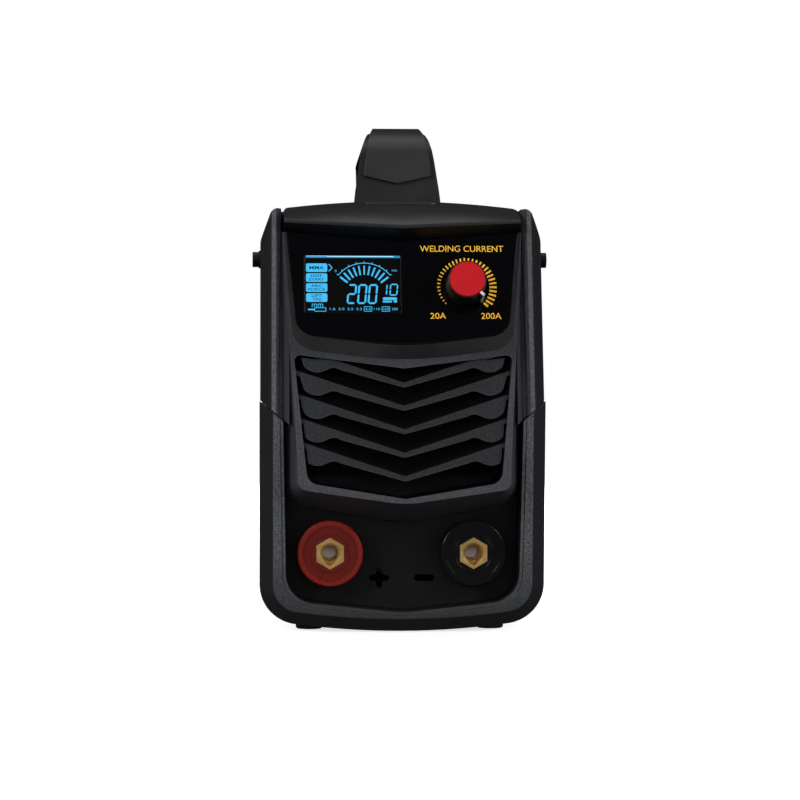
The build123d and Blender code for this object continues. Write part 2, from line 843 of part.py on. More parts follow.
export_step(metal_cover.part, "parts/metal_cover.step")

foot_spots = [(a, b) for a in (-foot_x, foot_x) for b in (-foot_y, foot_y)]
outline_tray_in = body_outline(wall + shell_gap + 1.2)
flange_out = body_outline(wall + shell_gap + sheet + 0.1)
flange_in = body_outline(wall + shell_gap + sheet + 1.3)

tray_front_y = rim_y + 27
with BuildPart() as chassis_tray:
    with BuildSketch(at_y(tray_front_y)):
        add(outline_cover)
        add(outline_tray_in, mode=Mode.SUBTRACT)
        with Locations((0, top_of_all / 2 + cover_bottom - 0.4)):
            Rectangle(across_all, top_of_all, mode=Mode.SUBTRACT)
    extrude(amount=tray_front_y - cover_y)
    with BuildSketch(at_y(-cover_y + 20)):
        add(flange_out)
        add(flange_in, mode=Mode.SUBTRACT)
        with Locations((0, top_of_all / 2 + 40)):
            Rectangle(across_all, top_of_all, mode=Mode.SUBTRACT)
        with Locations((0, 24 - top_of_all / 2)):
            Rectangle(across_all, top_of_all, mode=Mode.SUBTRACT)
    extrude(amount=-2 * cover_y + 40)
    with BuildSketch(Plane.XY):
        with Locations(*foot_spots):
            Circle(screw_radius)
    extrude(amount=20, mode=Mode.SUBTRACT)
chassis_tray.part.label = "chassis_tray"
export_step(chassis_tray.part, "parts/chassis_tray.step")

with BuildPart() as feet:
    with BuildSketch(Plane.XY):
        with Locations(*foot_spots):
            Circle(7.4)
    extrude(amount=14)
    chamfer(feet.edges().filter_by(GeomType.CIRCLE).group_by(Axis.Z)[0], 0.8)
    with BuildSketch(Plane.XY):
        with Locations(*foot_spots):
            Circle(3.6)
    extrude(amount=3, mode=Mode.SUBTRACT)
    with BuildSketch(Plane.XY):
        with Locations(*foot_spots):
            Circle(screw_radius)
    extrude(amount=14, mode=Mode.SUBTRACT)
    add(column(outline_cover, -150, 150), mode=Mode.SUBTRACT)
feet.part.label = "feet"
export_step(feet.part, "parts/feet.step")

with BuildPart() as foot_screws:
    with BuildSketch(Plane.XY.offset(0.6)):
        with Locations(*foot_spots):
            Circle(3.6)
    extrude(amount=2.4)
    with BuildSketch(Plane.XY.offset(3)):
        with Locations(*foot_spots):
            Circle(screw_radius)
    extrude(amount=11)
foot_screws.part.label = "foot_screws"
export_step(foot_screws.part, "parts/foot_screws.step")


# ---------------------------------------------------------------- handle
cover_top = body_top - wall - shell_gap
grip_thickness = 3.0
strap_thickness = 11.0


def handle_band(inset):
    """Side view of the handle, filled down to the cover, moved in by inset."""
    with BuildSketch() as band:
        with BuildLine():
            FilletPolyline(
                (-86, 200),
                (-70.5, handle_top - 0.2),
                (0, handle_top + 0.6),
                (70.5, handle_top - 0.2),
                (86, 200),
                radius=[26, 500, 26],
            )
            Line((86, 200), (-86, 200))
        make_face()
        if inset:
            offset(amount=-inset, kind=Kind.INTERSECTION)
    return band.sketch


def handle_front(half_widths):
    """Front view of the handle from (half width, z) pairs going up."""
    left = [(-w, z) for w, z in half_widths]
    right = [(w, z) for w, z in reversed(half_widths)]
    with BuildSketch() as view:
        with BuildLine():
            Polyline(left + right, close=True)
        make_face()
    return view.sketch


def across(band):
    """Side view carried across the machine."""
    with BuildPart() as prism:
        with BuildSketch(Plane.YZ.offset(-40)):
            add(band)
        extrude(amount=80)
    return prism.part


strap_view = handle_front(
    [(24.8, cover_top), (23.85, 237.6), (23.2, 243.2), (22.3, 249), (21.5, 254.5), (20.7, 260),
     (19.7, 265.7), (18.1, 271.4), (16.6, 274.8), (14.6, 277.4)]
)
grip_view = handle_front(
    [(19.2, 240), (18.9, 248), (18.5, 254.5), (18.0, 260), (17.3, 265.7), (16.2, 271.4),
     (15.0, 275.2), (13.4, 278.4), (12.6, 281)]
)

def handle_plan(front, rear):
    """Block that narrows from half width front to half width rear, seen from above."""
    with BuildPart() as block:
        with BuildSketch(Plane.XY.offset(200)):
            with BuildLine():
                Polyline(
                    (-front, -92),
                    (front, -92),
                    (front, -60),
                    (rear, 92),
                    (-rear, 92),
                    (-front, -60),
                    close=True,
                )
            make_face()
        extrude(amount=100)
    return block.part


with BuildPart() as handle_strap:
    add(across(handle_band(grip_thickness)))
    add(across(handle_band(grip_thickness + strap_thickness)), mode=Mode.SUBTRACT)
    add(column(strap_view, -120, 120), mode=Mode.INTERSECT)
    add(handle_plan(25.5, 17.0), mode=Mode.INTERSECT)
    with BuildSketch(Plane.XY.offset(cover_top)):
        with Locations(*handle_screw_spots):
            Circle(screw_radius)
    extrude(amount=14, mode=Mode.SUBTRACT)
handle_strap.part.label = "handle_strap"
export_step(handle_strap.part, "parts/handle_strap.step")

with BuildPart() as handle_grip:
    add(across(handle_band(0)))
    add(across(handle_band(grip_thickness)), mode=Mode.SUBTRACT)
    add(column(grip_view, -120, 120), mode=Mode.INTERSECT)
    add(handle_plan(20.0, 12.8), mode=Mode.INTERSECT)
    with BuildSketch(at_y(-120)):
        with BuildLine():
            Polyline((0, 246.0), (30, 253.0), (30, 220), (-30, 220), (-30, 253.0), close=True)
        make_face()
    extrude(amount=-240, mode=Mode.SUBTRACT)
handle_grip.part.label = "handle_grip"
export_step(handle_grip.part, "parts/handle_grip.step")

with BuildPart() as handle_screws:
    with BuildSketch(Plane.XY.offset(cover_top - sheet)):
        with Locations(*handle_screw_spots):
            Circle(4.0)
    extrude(amount=-3)
    with BuildSketch(Plane.XY.offset(cover_top - sheet)):
        with Locations(*handle_screw_spots):
            Circle(screw_radius)
    extrude(amount=14)
handle_screws.part.label = "handle_screws"
export_step(handle_screws.part, "parts/handle_screws.step")

side_wall_x = body_half_width - 0.35
with BuildPart() as side_washers:
    for side in (-1, 1):
        with BuildSketch(Plane.YZ.offset(side * side_wall_x)):
            with Locations(side_screw):
                Circle(4.9)
                Circle(2.5, mode=Mode.SUBTRACT)
        extrude(amount=side * 0.9)
side_washers.part.label = "side_washers"
export_step(side_washers.part, "parts/side_washers.step")

with BuildPart() as side_screws:
    for side in (-1, 1):
        with BuildSketch(Plane.YZ.offset(side * (side_wall_x + 0.9))):
            with Locations(side_screw):
                Circle(4.15)
        extrude(amount=side * 3.4)
        with BuildSketch(Plane.YZ.offset(side * (side_wall_x + 0.9))):
            with Locations(side_screw):
                Circle(2.5)
        extrude(amount=-side * 9)
        with BuildSketch(Plane.YZ.offset(side * (side_wall_x + 4.3))):
            with Locations(side_screw):
                RegularPolygon(2.2, 6, major_radius=False)
        extrude(amount=-side * 2.2, mode=Mode.SUBTRACT)
side_screws.part.label = "side_screws"
export_step(side_screws.part, "parts/side_screws.step")


# ---------------------------------------------------------------- rear moulding and what it carries
rear_recess_y = rear_plate_y + rear_plate
switch_spot = (-34.0, 190.0)
gland_spot = (34.0, 46.0)
earth_spot = (-34.0, 46.0)
rear_screw_spots = [(a, b) for a in (-54, 54) for b in (27, 207)]
fan_screw_spots = [(a, fan_z + b) for a in (-fan_pitch, fan_pitch) for b in (-fan_pitch, fan_pitch)]
guard_thickness = 2.0
fan_hole = 2.1
gland_thread = 9.9
gland_bore = 5.5
gland_end_y = 165.0
gland_cap = 11.6

with BuildPart() as rear_panel:
    with BuildSketch(at_y(114)):
        add(outline_full)
    extrude(amount=-(rear_y - 9 - 114))
    with BuildSketch(at_y(rear_y - 9)):
        add(outline_full)
    with BuildSketch(at_y(rear_y)):
        add(outline_rim)
    loft()
    with BuildSketch(at_y(rear_recess_y)):
        with Locations((0, 117)):
            RectangleRounded(126, 200, 14)
    extrude(amount=-30, mode=Mode.SUBTRACT)
    with BuildSketch(at_y(113)):
        add(outline_shell)
    extrude(amount=-(rear_plate_y - 113), mode=Mode.SUBTRACT)
    with BuildSketch(at_y(rear_plate_y - 1)):
        with Locations((0, fan_z)):
            Circle(fan_bore)
        with Locations(*fan_screw_spots):
            Circle(fan_hole)
        with Locations(switch_spot):
            Rectangle(21, 29)
        with Locations(gland_spot):
            Circle(gland_thread)
        with Locations(earth_spot, *rear_screw_spots):
            Circle(screw_radius)
    extrude(amount=-10, mode=Mode.SUBTRACT)
rear_panel.part.label = "rear_panel"
export_step(rear_panel.part, "parts/rear_panel.step")

with BuildPart() as fan_guard:
    with BuildSketch(at_y(rear_recess_y)):
        for radius in (11, 19, 27, 35, 43):
            with Locations((0, fan_z)):
                Circle(radius + 0.9)
                Circle(radius - 0.9, mode=Mode.SUBTRACT)
        with Locations((0, fan_z)):
            Circle(5)
            for turn in (45, 135):
                Rectangle(2 * fan_pitch * 1.4142, 2.6, rotation=turn)
        with Locations(*fan_screw_spots):
            Circle(5)
        with Locations(*fan_screw_spots):
            Circle(fan_hole, mode=Mode.SUBTRACT)
    extrude(amount=-guard_thickness)
fan_guard.part.label = "fan_guard"
export_step(fan_guard.part, "parts/fan_guard.step")

fan_depth = 25.0
fan_front_y = rear_plate_y - fan_depth
axle_radius = 2.0
hub_radius = 17.5
blade_count = 7
with BuildPart() as fan_housing:
    with BuildSketch(at_y(fan_front_y)):
        with Locations((0, fan_z)):
            RectangleRounded(fan_size, fan_size, 5)
            Circle(fan_bore, mode=Mode.SUBTRACT)
        with Locations(*fan_screw_spots):
            Circle(fan_hole, mode=Mode.SUBTRACT)
    extrude(amount=-fan_depth)
    with BuildSketch(at_y(fan_front_y)):
        with Locations((0, fan_z)):
            Circle(16)
            for turn in (20, 110):
                Rectangle(2 * fan_bore + 1, 6, rotation=turn)
        with Locations((0, fan_z)):
            Rectangle(4, 4)
    extrude(amount=-3.5)
    with BuildSketch(at_y(fan_front_y + 3.5)):
        with Locations((0, fan_z)):
            Circle(axle_radius)
    extrude(amount=-18)
fan_housing.part.label = "fan_housing"
export_step(fan_housing.part, "parts/fan_housing.step")

with BuildPart() as fan_rotor:
    with BuildSketch(at_y(fan_front_y + 4.6)):
        with Locations((0, fan_z)):
            Circle(hub_radius)
    extrude(amount=-18.4)
    for blade in range(blade_count):
        turn = radians(360 / blade_count * blade)
        outward = (cos(turn), 0, sin(turn))
        root_plane = Plane(
            origin=(14 * cos(turn), fan_front_y + 13.8, fan_z + 14 * sin(turn)),
            x_dir=(0, 1, 0),
            z_dir=outward,
        )
        with BuildSketch(root_plane):
            Rectangle(19, 1.8, rotation=38)
        extrude(amount=27)
    with BuildSketch(at_y(fan_front_y + 4)):
        with Locations((0, fan_z)):
            Circle(axle_radius + running)
    extrude(amount=-30, mode=Mode.SUBTRACT)
    with BuildSketch(at_y(fan_front_y + 4)):
        with Locations((0, fan_z)):
            Circle(15.7)
            Circle(4.5, mode=Mode.SUBTRACT)
    extrude(amount=-16, mode=Mode.SUBTRACT)
fan_rotor.part.label = "fan_rotor"
export_step(fan_rotor.part, "parts/fan_rotor.step")

with BuildPart() as fan_screws:
    with BuildSketch(at_y(rear_recess_y + guard_thickness)):
        with Locations(*fan_screw_spots):
            Circle(4)
    extrude(amount=-2.4)
    with BuildSketch(at_y(rear_recess_y + guard_thickness + 2.4)):
        with Locations(*fan_screw_spots):
            Rectangle(5, 1.1)
            Rectangle(1.1, 5)
    extrude(amount=1.2, mode=Mode.SUBTRACT)
    with BuildSketch(at_y(rear_recess_y + guard_thickness)):
        with Locations(*fan_screw_spots):
            Circle(fan_hole)
    extrude(amount=rear_recess_y + guard_thickness - fan_front_y)
fan_screws.part.label = "fan_screws"
export_step(fan_screws.part, "parts/fan_screws.step")


# ---------------------------------------------------------------- mains switch
rocker_width = 16.6
rocker_radius = 12.2
rocker_y = rear_recess_y - 3
rocker_tilt = 10.0  # either side of level
pin_radius = 1.5
rocker_axis = (rocker_y, switch_spot[1])

with BuildPart() as power_switch_body:
    with BuildSketch(at_y(rear_recess_y)):
        with Locations(switch_spot):
            RectangleRounded(25, 33, 1.5)
    extrude(amount=-1.8)
    with BuildSketch(at_y(rear_recess_y)):
        with Locations(switch_spot):
            Rectangle(21, 29)
    extrude(amount=20)
    with BuildSketch(Plane.YZ.offset(switch_spot[0] - rocker_width / 2 - 0.4)):
        with Locations(rocker_axis):
            Circle(rocker_radius + 0.5)
    extrude(amount=rocker_width + 0.8, mode=Mode.SUBTRACT)
    with BuildSketch(Plane.YZ.offset(switch_spot[0] - rocker_width / 2 - 1)):
        with Locations(rocker_axis):
            Circle(pin_radius)
    extrude(amount=rocker_width + 2)
power_switch_body.part.label = "power_switch_body"
export_step(power_switch_body.part, "parts/power_switch_body.step")

with BuildPart() as power_switch_rocker:
    with BuildSketch(Plane.YZ.offset(switch_spot[0] - rocker_width / 2)):
        with Locations(rocker_axis):
            Circle(rocker_radius)
    extrude(amount=rocker_width)
    # two faces that meet in a shallow V, the lower one pressed in
    for tilt in (0, 2 * rocker_tilt):
        face_dir = (0, cos(radians(tilt)), sin(radians(tilt)))
        face_plane = Plane(
            origin=(switch_spot[0], rocker_y + 6.2 * face_dir[1], switch_spot[1] + 6.2 * face_dir[2]),
            x_dir=(1, 0, 0),
            z_dir=face_dir,
        )
        with BuildSketch(face_plane):
            Rectangle(40, 60)
        extrude(amount=20, mode=Mode.SUBTRACT)
    with BuildSketch(at_y(rocker_y - 4)):
        with Locations(switch_spot):
            Rectangle(40, 60)
    extrude(amount=20, mode=Mode.SUBTRACT)
    with BuildSketch(Plane.YZ.offset(switch_spot[0] - 20)):
        with Locations(rocker_axis):
            Circle(pin_radius + running)
    extrude(amount=40, mode=Mode.SUBTRACT)
power_switch_rocker.part.label = "power_switch_rocker"
export_step(power_switch_rocker.part, "parts/power_switch_rocker.step")


# ---------------------------------------------------------------- cable gland and earth screw
with BuildPart() as cable_gland:
    with BuildSketch(at_y(rear_recess_y)):
        with Locations(gland_spot):
            RegularPolygon(12, 6, major_radius=False)
    extrude(amount=-6)
    with BuildSketch(at_y(rear_recess_y + 6)):
        with Locations(gland_spot):
            Circle(gland_cap)
    extrude(amount=-18)
    with BuildSketch(at_y(rear_recess_y + 24)):
        with Locations(gland_spot):
            Circle(gland_cap)
    with BuildSketch(at_y(gland_end_y)):
        with Locations(gland_spot):
            Circle(8.6)
    loft()
    with BuildSketch(at_y(rear_recess_y + 8)):
        with Locations(gland_spot):
            with PolarLocations(11.9, 20):
                Circle(0.6)
    extrude(amount=-14, mode=Mode.SUBTRACT)
    with BuildSketch(at_y(rear_recess_y)):
        with Locations(gland_spot):
            Circle(gland_thread)
    extrude(amount=11)
    with BuildSketch(at_y(100)):
        with Locations(gland_spot):
            Circle(gland_bore)
    extrude(amount=-80, mode=Mode.SUBTRACT)
cable_gland.part.label = "cable_gland"
export_step(cable_gland.part, "parts/cable_gland.step")

with BuildPart() as gland_nut:
    with BuildSketch(at_y(rear_plate_y)):
        with Locations(gland_spot):
            RegularPolygon(12.5, 6, major_radius=False)
            Circle(gland_thread, mode=Mode.SUBTRACT)
    extrude(amount=5)
gland_nut.part.label = "gland_nut"
export_step(gland_nut.part, "parts/gland_nut.step")

with BuildPart() as earth_screw:
    with BuildSketch(at_y(rear_recess_y)):
        with Locations(earth_spot):
            Circle(6)
    extrude(amount=-1.2)
    with BuildSketch(at_y(rear_recess_y + 1.2)):
        with Locations(earth_spot):
            RegularPolygon(4, 6, major_radius=False)
    extrude(amount=-3.6)
    with BuildSketch(at_y(rear_recess_y)):
        with Locations(earth_spot):
            Circle(screw_radius)
    extrude(amount=12)
earth_screw.part.label = "earth_screw"
export_step(earth_screw.part, "parts/earth_screw.step")

with BuildPart() as rear_screws:
    with BuildSketch(at_y(rear_recess_y)):
        with Locations(*rear_screw_spots):
            Circle(3.8)
    extrude(amount=-2.4)
    with BuildSketch(at_y(rear_recess_y + 2.4)):
        with Locations(*rear_screw_spots):
            Rectangle(4.8, 1.1)
            Rectangle(1.1, 4.8)
    extrude(amount=1.2, mode=Mode.SUBTRACT)
    with BuildSketch(at_y(rear_recess_y)):
        with Locations(*rear_screw_spots):
            Circle(screw_radius)
    extrude(amount=9)
rear_screws.part.label = "rear_screws"
export_step(rear_screws.part, "parts/rear_screws.step")


# ---------------------------------------------------------------- power electronics
board_z = 30.0
board_thickness = 1.6
board_top = board_z + board_thickness
board_front_y = -86.0
board_rear_y = 92.0
post_spots = [(a, b) for a in (-50, 50) for b in (-78, 3, 84)]

with BuildPart() as main_board:
    with BuildSketch(Plane.XY.offset(board_z)):
        with Locations((0, (board_front_y + board_rear_y) / 2)):
            Rectangle(124, board_rear_y - board_front_y)
    extrude(amount=board_thickness)
main_board.part.label = "main_board"
export_step(main_board.part, "parts/main_board.step")

with BuildPart() as board_standoffs:
    with BuildSketch(Plane.XY):
        with Locations(*post_spots):
            RegularPolygon(4, 6, major_radius=False)
    extrude(amount=board_z)
    add(column(outline_tray_in, -120, 120), mode=Mode.INTERSECT)
board_standoffs.part.label = "board_standoffs"
export_step(board_standoffs.part, "parts/board_standoffs.step")


heatsink_x = 32.0


def heatsink(x, y, width, length, height, fins):
    """Finned extrusion standing on the board, its flat back towards the middle of the machine."""
    direction = 1 if x > 0 else -1
    with BuildPart() as sink:
        with BuildSketch(Plane.XZ.offset(-y)):
            with Locations((x, board_top + height / 2)):
                Rectangle(5, height)
            for fin in range(fins):
                z = board_top + 1 + (height - 2) * fin / (fins - 1)
                with Locations((x + direction * width / 2, z)):
                    Rectangle(width, 2)
        extrude(amount=-length)
    return sink.part


with BuildPart() as primary_heatsink:
    add(heatsink(-heatsink_x, 0, 26, 78, 90, 12))
primary_heatsink.part.label = "primary_heatsink"
export_step(primary_heatsink.part, "parts/primary_heatsink.step")

with BuildPart() as secondary_heatsink:
    add(heatsink(heatsink_x, 0, 26, 78, 90, 12))
secondary_heatsink.part.label = "secondary_heatsink"
export_step(secondary_heatsink.part, "parts/secondary_heatsink.step")


def package_row(x, z_low, count):
    """Row of flat power packages screwed to a heatsink back."""
    with BuildPart() as row:
        with BuildSketch(Plane.YZ.offset(x)):
            for item in range(count):
                with Locations((11 + 18.5 * item, z_low)):
                    Rectangle(15.8, 20.5)
        extrude(amount=5)
    return row.part


with BuildPart() as power_transistors:
    add(package_row(-29.5, 58, 4))
power_transistors.part.label = "power_transistors"
export_step(power_transistors.part, "parts/power_transistors.step")

with BuildPart() as output_diodes:
    add(package_row(24.5, 58, 4))
output_diodes.part.label = "output_diodes"
export_step(output_diodes.part, "parts/output_diodes.step")

with BuildPart() as bridge_rectifier:
    with BuildSketch(Plane.YZ.offset(-29.5)):
        with Locations((39, 96)):
            Rectangle(28, 28)
    extrude(amount=6)
bridge_rectifier.part.label = "bridge_rectifier"
export_step(bridge_rectifier.part, "parts/bridge_rectifier.step")

with BuildPart() as bulk_capacitors:
    with BuildSketch(Plane.XY.offset(board_top)):
        with Locations((0, 22), (0, 60)):
            Circle(15)
    extrude(amount=50)
    fillet(bulk_capacitors.edges().filter_by(GeomType.CIRCLE).group_by(Axis.Z)[-1], 1.5)
bulk_capacitors.part.label = "bulk_capacitors"
export_step(bulk_capacitors.part, "parts/bulk_capacitors.step")

core_centre = (-20.0, -36.0)
with BuildPart() as transformer_core:
    with BuildSketch(Plane.XY.offset(board_top)):
        with Locations(core_centre):
            Rectangle(56, 22)
    extrude(amount=56)
    with BuildSketch(at_y(-80)):
        with Locations((core_centre[0] - 14, board_top + 28), (core_centre[0] + 14, board_top + 28)):
            Rectangle(12, 36)
    extrude(amount=-80, mode=Mode.SUBTRACT)
transformer_core.part.label = "transformer_core"
export_step(transformer_core.part, "parts/transformer_core.step")

with BuildPart() as transformer_winding:
    with BuildSketch(Plane.XY.offset(board_top + 10.4)):
        with Locations(core_centre):
            RectangleRounded(39, 44, 10)
            Rectangle(16, 22, mode=Mode.SUBTRACT)
    extrude(amount=35.2)
transformer_winding.part.label = "transformer_winding"
export_step(transformer_winding.part, "parts/transformer_winding.step")

with BuildPart() as output_choke:
    with BuildSketch(at_y(-58)):
        with Locations((34, board_top + 25)):
            Circle(25)
            Circle(11, mode=Mode.SUBTRACT)
    extrude(amount=-26)
    fillet(output_choke.edges().filter_by(GeomType.CIRCLE), 5)
output_choke.part.label = "output_choke"
export_step(output_choke.part, "parts/output_choke.step")
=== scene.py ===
import json
import math

import bmesh
import bpy
from mathutils import Matrix, Vector


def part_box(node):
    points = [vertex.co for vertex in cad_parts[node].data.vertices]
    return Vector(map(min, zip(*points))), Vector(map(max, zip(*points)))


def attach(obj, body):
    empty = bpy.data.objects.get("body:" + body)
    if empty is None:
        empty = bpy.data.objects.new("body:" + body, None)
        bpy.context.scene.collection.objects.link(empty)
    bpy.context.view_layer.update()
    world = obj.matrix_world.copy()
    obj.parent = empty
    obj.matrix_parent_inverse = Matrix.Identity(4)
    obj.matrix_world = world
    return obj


# Stick welding inverter. Metres, +Z up, front towards -Y. Sizes below are written in millimetres and scaled.
MM = 0.001
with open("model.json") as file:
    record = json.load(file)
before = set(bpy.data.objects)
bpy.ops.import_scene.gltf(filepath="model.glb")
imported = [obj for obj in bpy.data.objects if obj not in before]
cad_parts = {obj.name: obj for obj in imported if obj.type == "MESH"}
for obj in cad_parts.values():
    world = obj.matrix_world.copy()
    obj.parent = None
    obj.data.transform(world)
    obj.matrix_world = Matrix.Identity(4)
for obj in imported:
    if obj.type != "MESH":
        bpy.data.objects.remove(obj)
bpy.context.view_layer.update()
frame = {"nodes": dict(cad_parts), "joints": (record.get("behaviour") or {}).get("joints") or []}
nodes = frame["nodes"]
scene = bpy.context.scene
joints = {joint["name"]: joint for joint in frame["joints"]}


# ---------------------------------------------------------------- material building blocks
class Shader:
    """A node material under construction, on one Principled shader."""

    def __init__(self, name, colour, roughness, metallic=0.0, **sockets):
        self.material = bpy.data.materials.new(name)
        self.material.use_nodes = True
        self.tree = self.material.node_tree
        self.shader = self.tree.nodes["Principled BSDF"]
        self.shader.inputs["Base Color"].default_value = (*colour, 1)
        self.shader.inputs["Roughness"].default_value = roughness
        self.shader.inputs["Metallic"].default_value = metallic
        for socket, value in sockets.items():
            self.shader.inputs[socket.replace("_", " ")].default_value = value
        self.colour = colour
        self.roughness = roughness

    def node(self, kind, **values):
        made = self.tree.nodes.new("ShaderNode" + kind)
        for key, value in values.items():
            setattr(made, key, value)
        return made

    def link(self, source, target):
        self.tree.links.new(source, target)

    def coordinates(self, stretch=(1, 1, 1)):
        place = self.node("TexCoord")
        mapping = self.node("Mapping")
        mapping.inputs["Scale"].default_value = stretch
        self.link(place.outputs["Object"], mapping.inputs["Vector"])
        return mapping.outputs["Vector"]

    def noise(self, size, detail=3.0, rough=0.55, stretch=(1, 1, 1)):
        """Noise whose features are about size metres wide."""
        made = self.node("TexNoise")
        made.inputs["Scale"].default_value = 1 / size
        made.inputs["Detail"].default_value = detail
        made.inputs["Roughness"].default_value = rough
        self.link(self.coordinates(stretch), made.inputs["Vector"])
        return made.outputs["Fac"]

    def ranged(self, source, low, high, to_low=0.0, to_high=1.0):
        made = self.node("MapRange")
        for index, value in enumerate((low, high, to_low, to_high)):
            made.inputs[index + 1].default_value = value
        self.link(source, made.inputs[0])
        return made.outputs[0]

    def math(self, kind, first, second):
        made = self.node("Math", operation=kind)
        for index, value in enumerate((first, second)):
            if isinstance(value, (int, float)):
                made.inputs[index].default_value = value
            else:
                self.link(value, made.inputs[index])
        return made.outputs[0]

    def mix(self, factor, first, second):
        """Colour between first and second; each is a colour or a socket."""
        made = self.node("Mix", data_type="RGBA")
        self.link(factor, made.inputs["Factor"])
        for socket, value in ((made.inputs[6], first), (made.inputs[7], second)):
            if isinstance(value, tuple):
                socket.default_value = (*value, 1)
            else:
                self.link(value, socket)
        return made.outputs[2]

    def edges(self, radius):
        """1 on sharp edges, 0 on flat and gently curved faces."""
        bevel = self.node("Bevel", samples=4)
        bevel.inputs["Radius"].default_value = radius
        geometry = self.node("NewGeometry")
        dot = self.node("VectorMath", operation="DOT_PRODUCT")
        self.link(bevel.outputs["Normal"], dot.inputs[0])
        self.link(geometry.outputs["Normal"], dot.inputs[1])
        return self.ranged(dot.outputs["Value"], 1.0, 0.86)

    def facing_front(self, low, high):
        """1 on faces that look forwards, 0 on those that look sideways, up or back."""
        place = self.node("TexCoord")
        split = self.node("SeparateXYZ")
        self.link(place.outputs["Normal"], split.inputs[0])
        return self.ranged(split.outputs["Y"], -low, -high)

    def facing_inwards(self):
        """1 on faces that look towards the middle plane of the machine, 0 on the rest."""
        normal, place = self.node("SeparateXYZ"), self.node("SeparateXYZ")
        self.link(self.node("TexCoord").outputs["Normal"], normal.inputs[0])
        self.link(self.coordinates(), place.inputs[0])
        away = self.math("MULTIPLY", normal.outputs["X"], place.outputs["X"])
        return self.ranged(away, -5 * MM, -20 * MM)

    def bump(self, height, strength, distance):
        made = self.node("Bump")
        made.inputs["Strength"].default_value = strength
        made.inputs["Distance"].default_value = distance
        self.link(height, made.inputs["Height"])
        self.link(made.outputs["Normal"], self.shader.inputs["Normal"])

    def paint(self, socket):
        self.link(socket, self.shader.inputs["Base Color"])

    def rough(self, socket):
        self.link(socket, self.shader.inputs["Roughness"])


def scaled(colour, factor):
    return tuple(min(1.0, channel * factor) for channel in colour)


def varied(made, size, spread, rough_spread=0.08):
    """Slow change of tone and gloss over a surface, as handling leaves it."""
    slow = made.noise(size, 4.0)
    made.paint(made.mix(slow, scaled(made.colour, 1 - spread), scaled(made.colour, 1 + spread)))
    made.rough(made.ranged(slow, 0.3, 0.7, made.roughness - rough_spread, made.roughness + rough_spread))
    return made


# ---------------------------------------------------------------- materials
def charcoal(name, smooth, speckled, roughness=0.42, edge_light=2.4, shine=0.5, specks=(0.5, 1.75), shade_heights=None,
             lit_inner_edge=False):
    """Moulded charcoal plastic: spark-eroded grain on the faces that look forwards, plain satin on the rest.

    specks are the darkest and the lightest share of the grain's tone. heights is (z, z, share, share), painted
    shade by height: between the two z values the grain goes from the first share of its full tone to the second.
    lit_inner_edge puts the grained tone on the faces that look towards the middle as well, as painted light.
    """
    made = Shader(name, smooth, roughness, Specular_IOR_Level=shine)
    front = made.facing_front(0.74, 0.9)
    # painted light: the faces that look towards the middle take the grained tone too
    if lit_inner_edge:
        front = made.math("MAXIMUM", front, made.facing_inwards())
    speck = made.noise(0.95 * MM, 2.0, 0.6)
    slow = made.noise(34 * MM, 3.0)
    grain = made.mix(made.ranged(speck, 0.36, 0.68), *(scaled(speckled, tone) for tone in specks))
    # painted shade: between two z values the grain fades towards a darker tone
    if shade_heights:
        split = made.node("SeparateXYZ")
        made.link(made.coordinates(), split.inputs[0])
        grain = made.mix(made.ranged(split.outputs["Z"], *shade_heights), scaled(speckled, 0.25), grain)
    plain = made.mix(slow, scaled(smooth, 0.85), scaled(smooth, 1.2))
    # the faces that look forwards take the grained tone and the rest the satin tone; the gap between the two is
    # partly the finishes' own and partly painted light and shade
    body = made.mix(front, plain, grain)
    # painted highlight and wear: the sharp edges lighter, in patches
    patches = made.ranged(made.noise(6 * MM), 0.35, 0.65, 0.35, 1.0)
    edge_wear_and_highlight = made.math("MULTIPLY", made.edges(0.45 * MM), patches)
    made.paint(made.mix(edge_wear_and_highlight, body, scaled(speckled, edge_light)))
    made.rough(made.ranged(front, 0.0, 1.0, roughness, 0.56))
    made.bump(made.math("MULTIPLY", speck, made.ranged(front, 0, 1, 0.12, 1.0)), 0.55, 0.12 * MM)
    return made.material


def satin(name, colour, roughness=0.36, grain=0.5 * MM, strength=0.12, shine=0.5):
    """Smooth moulded plastic with a barely visible grain."""
    made = varied(Shader(name, colour, roughness, Specular_IOR_Level=shine), 30 * MM, 0.12)
    made.bump(made.noise(grain, 2.0), strength, 0.08 * MM)
    return made.material


def shaded_below(name, colour):
    """Smooth moulded plastic whose faces are darker the more they look down."""
    made = Shader(name, colour, 0.36)
    split = made.node("SeparateXYZ")
    made.link(made.node("TexCoord").outputs["Normal"], split.inputs[0])
    down = made.ranged(split.outputs["Z"], 0.3, -0.15)
    plain = made.mix(made.noise(30 * MM), scaled(colour, 0.9), scaled(colour, 1.1))
    made.paint(made.mix(down, plain, scaled(colour, 0.25)))
    made.rough(made.ranged(down, 0, 1, 0.36, 0.5))
    made.bump(made.noise(0.5 * MM, 2.0), 0.12, 0.08 * MM)
    return made.material


def ringed(name, inner, outer, node):
    """Moulded disc, a brighter red on its raised rim than on its face."""
    made = Shader(name, inner, 0.3, Specular_IOR_Level=0.2)
    low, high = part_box(node)
    middle = (low + high) / 2
    flat = made.node("VectorMath", operation="MULTIPLY")
    flat.inputs[1].default_value = (1, 0, 1)
    made.link(made.coordinates(), flat.inputs[0])
    away = made.node("VectorMath", operation="DISTANCE")
    away.inputs[1].default_value = (middle.x, 0, middle.z)
    made.link(flat.outputs[0], away.inputs[0])
    rim = made.ranged(away.outputs["Value"], 14.2 * MM, 15.4 * MM)
    haze = made.ranged(made.noise(9 * MM, 4.0), 0.3, 0.7, 0.0, 0.35)
    made.paint(made.mix(made.math("MAXIMUM", rim, haze), inner, outer))
    made.rough(made.ranged(made.noise(12 * MM), 0.3, 0.7, 0.24, 0.38))
    made.bump(made.noise(0.6 * MM, 2.0), 0.12, 0.06 * MM)
    return made.material


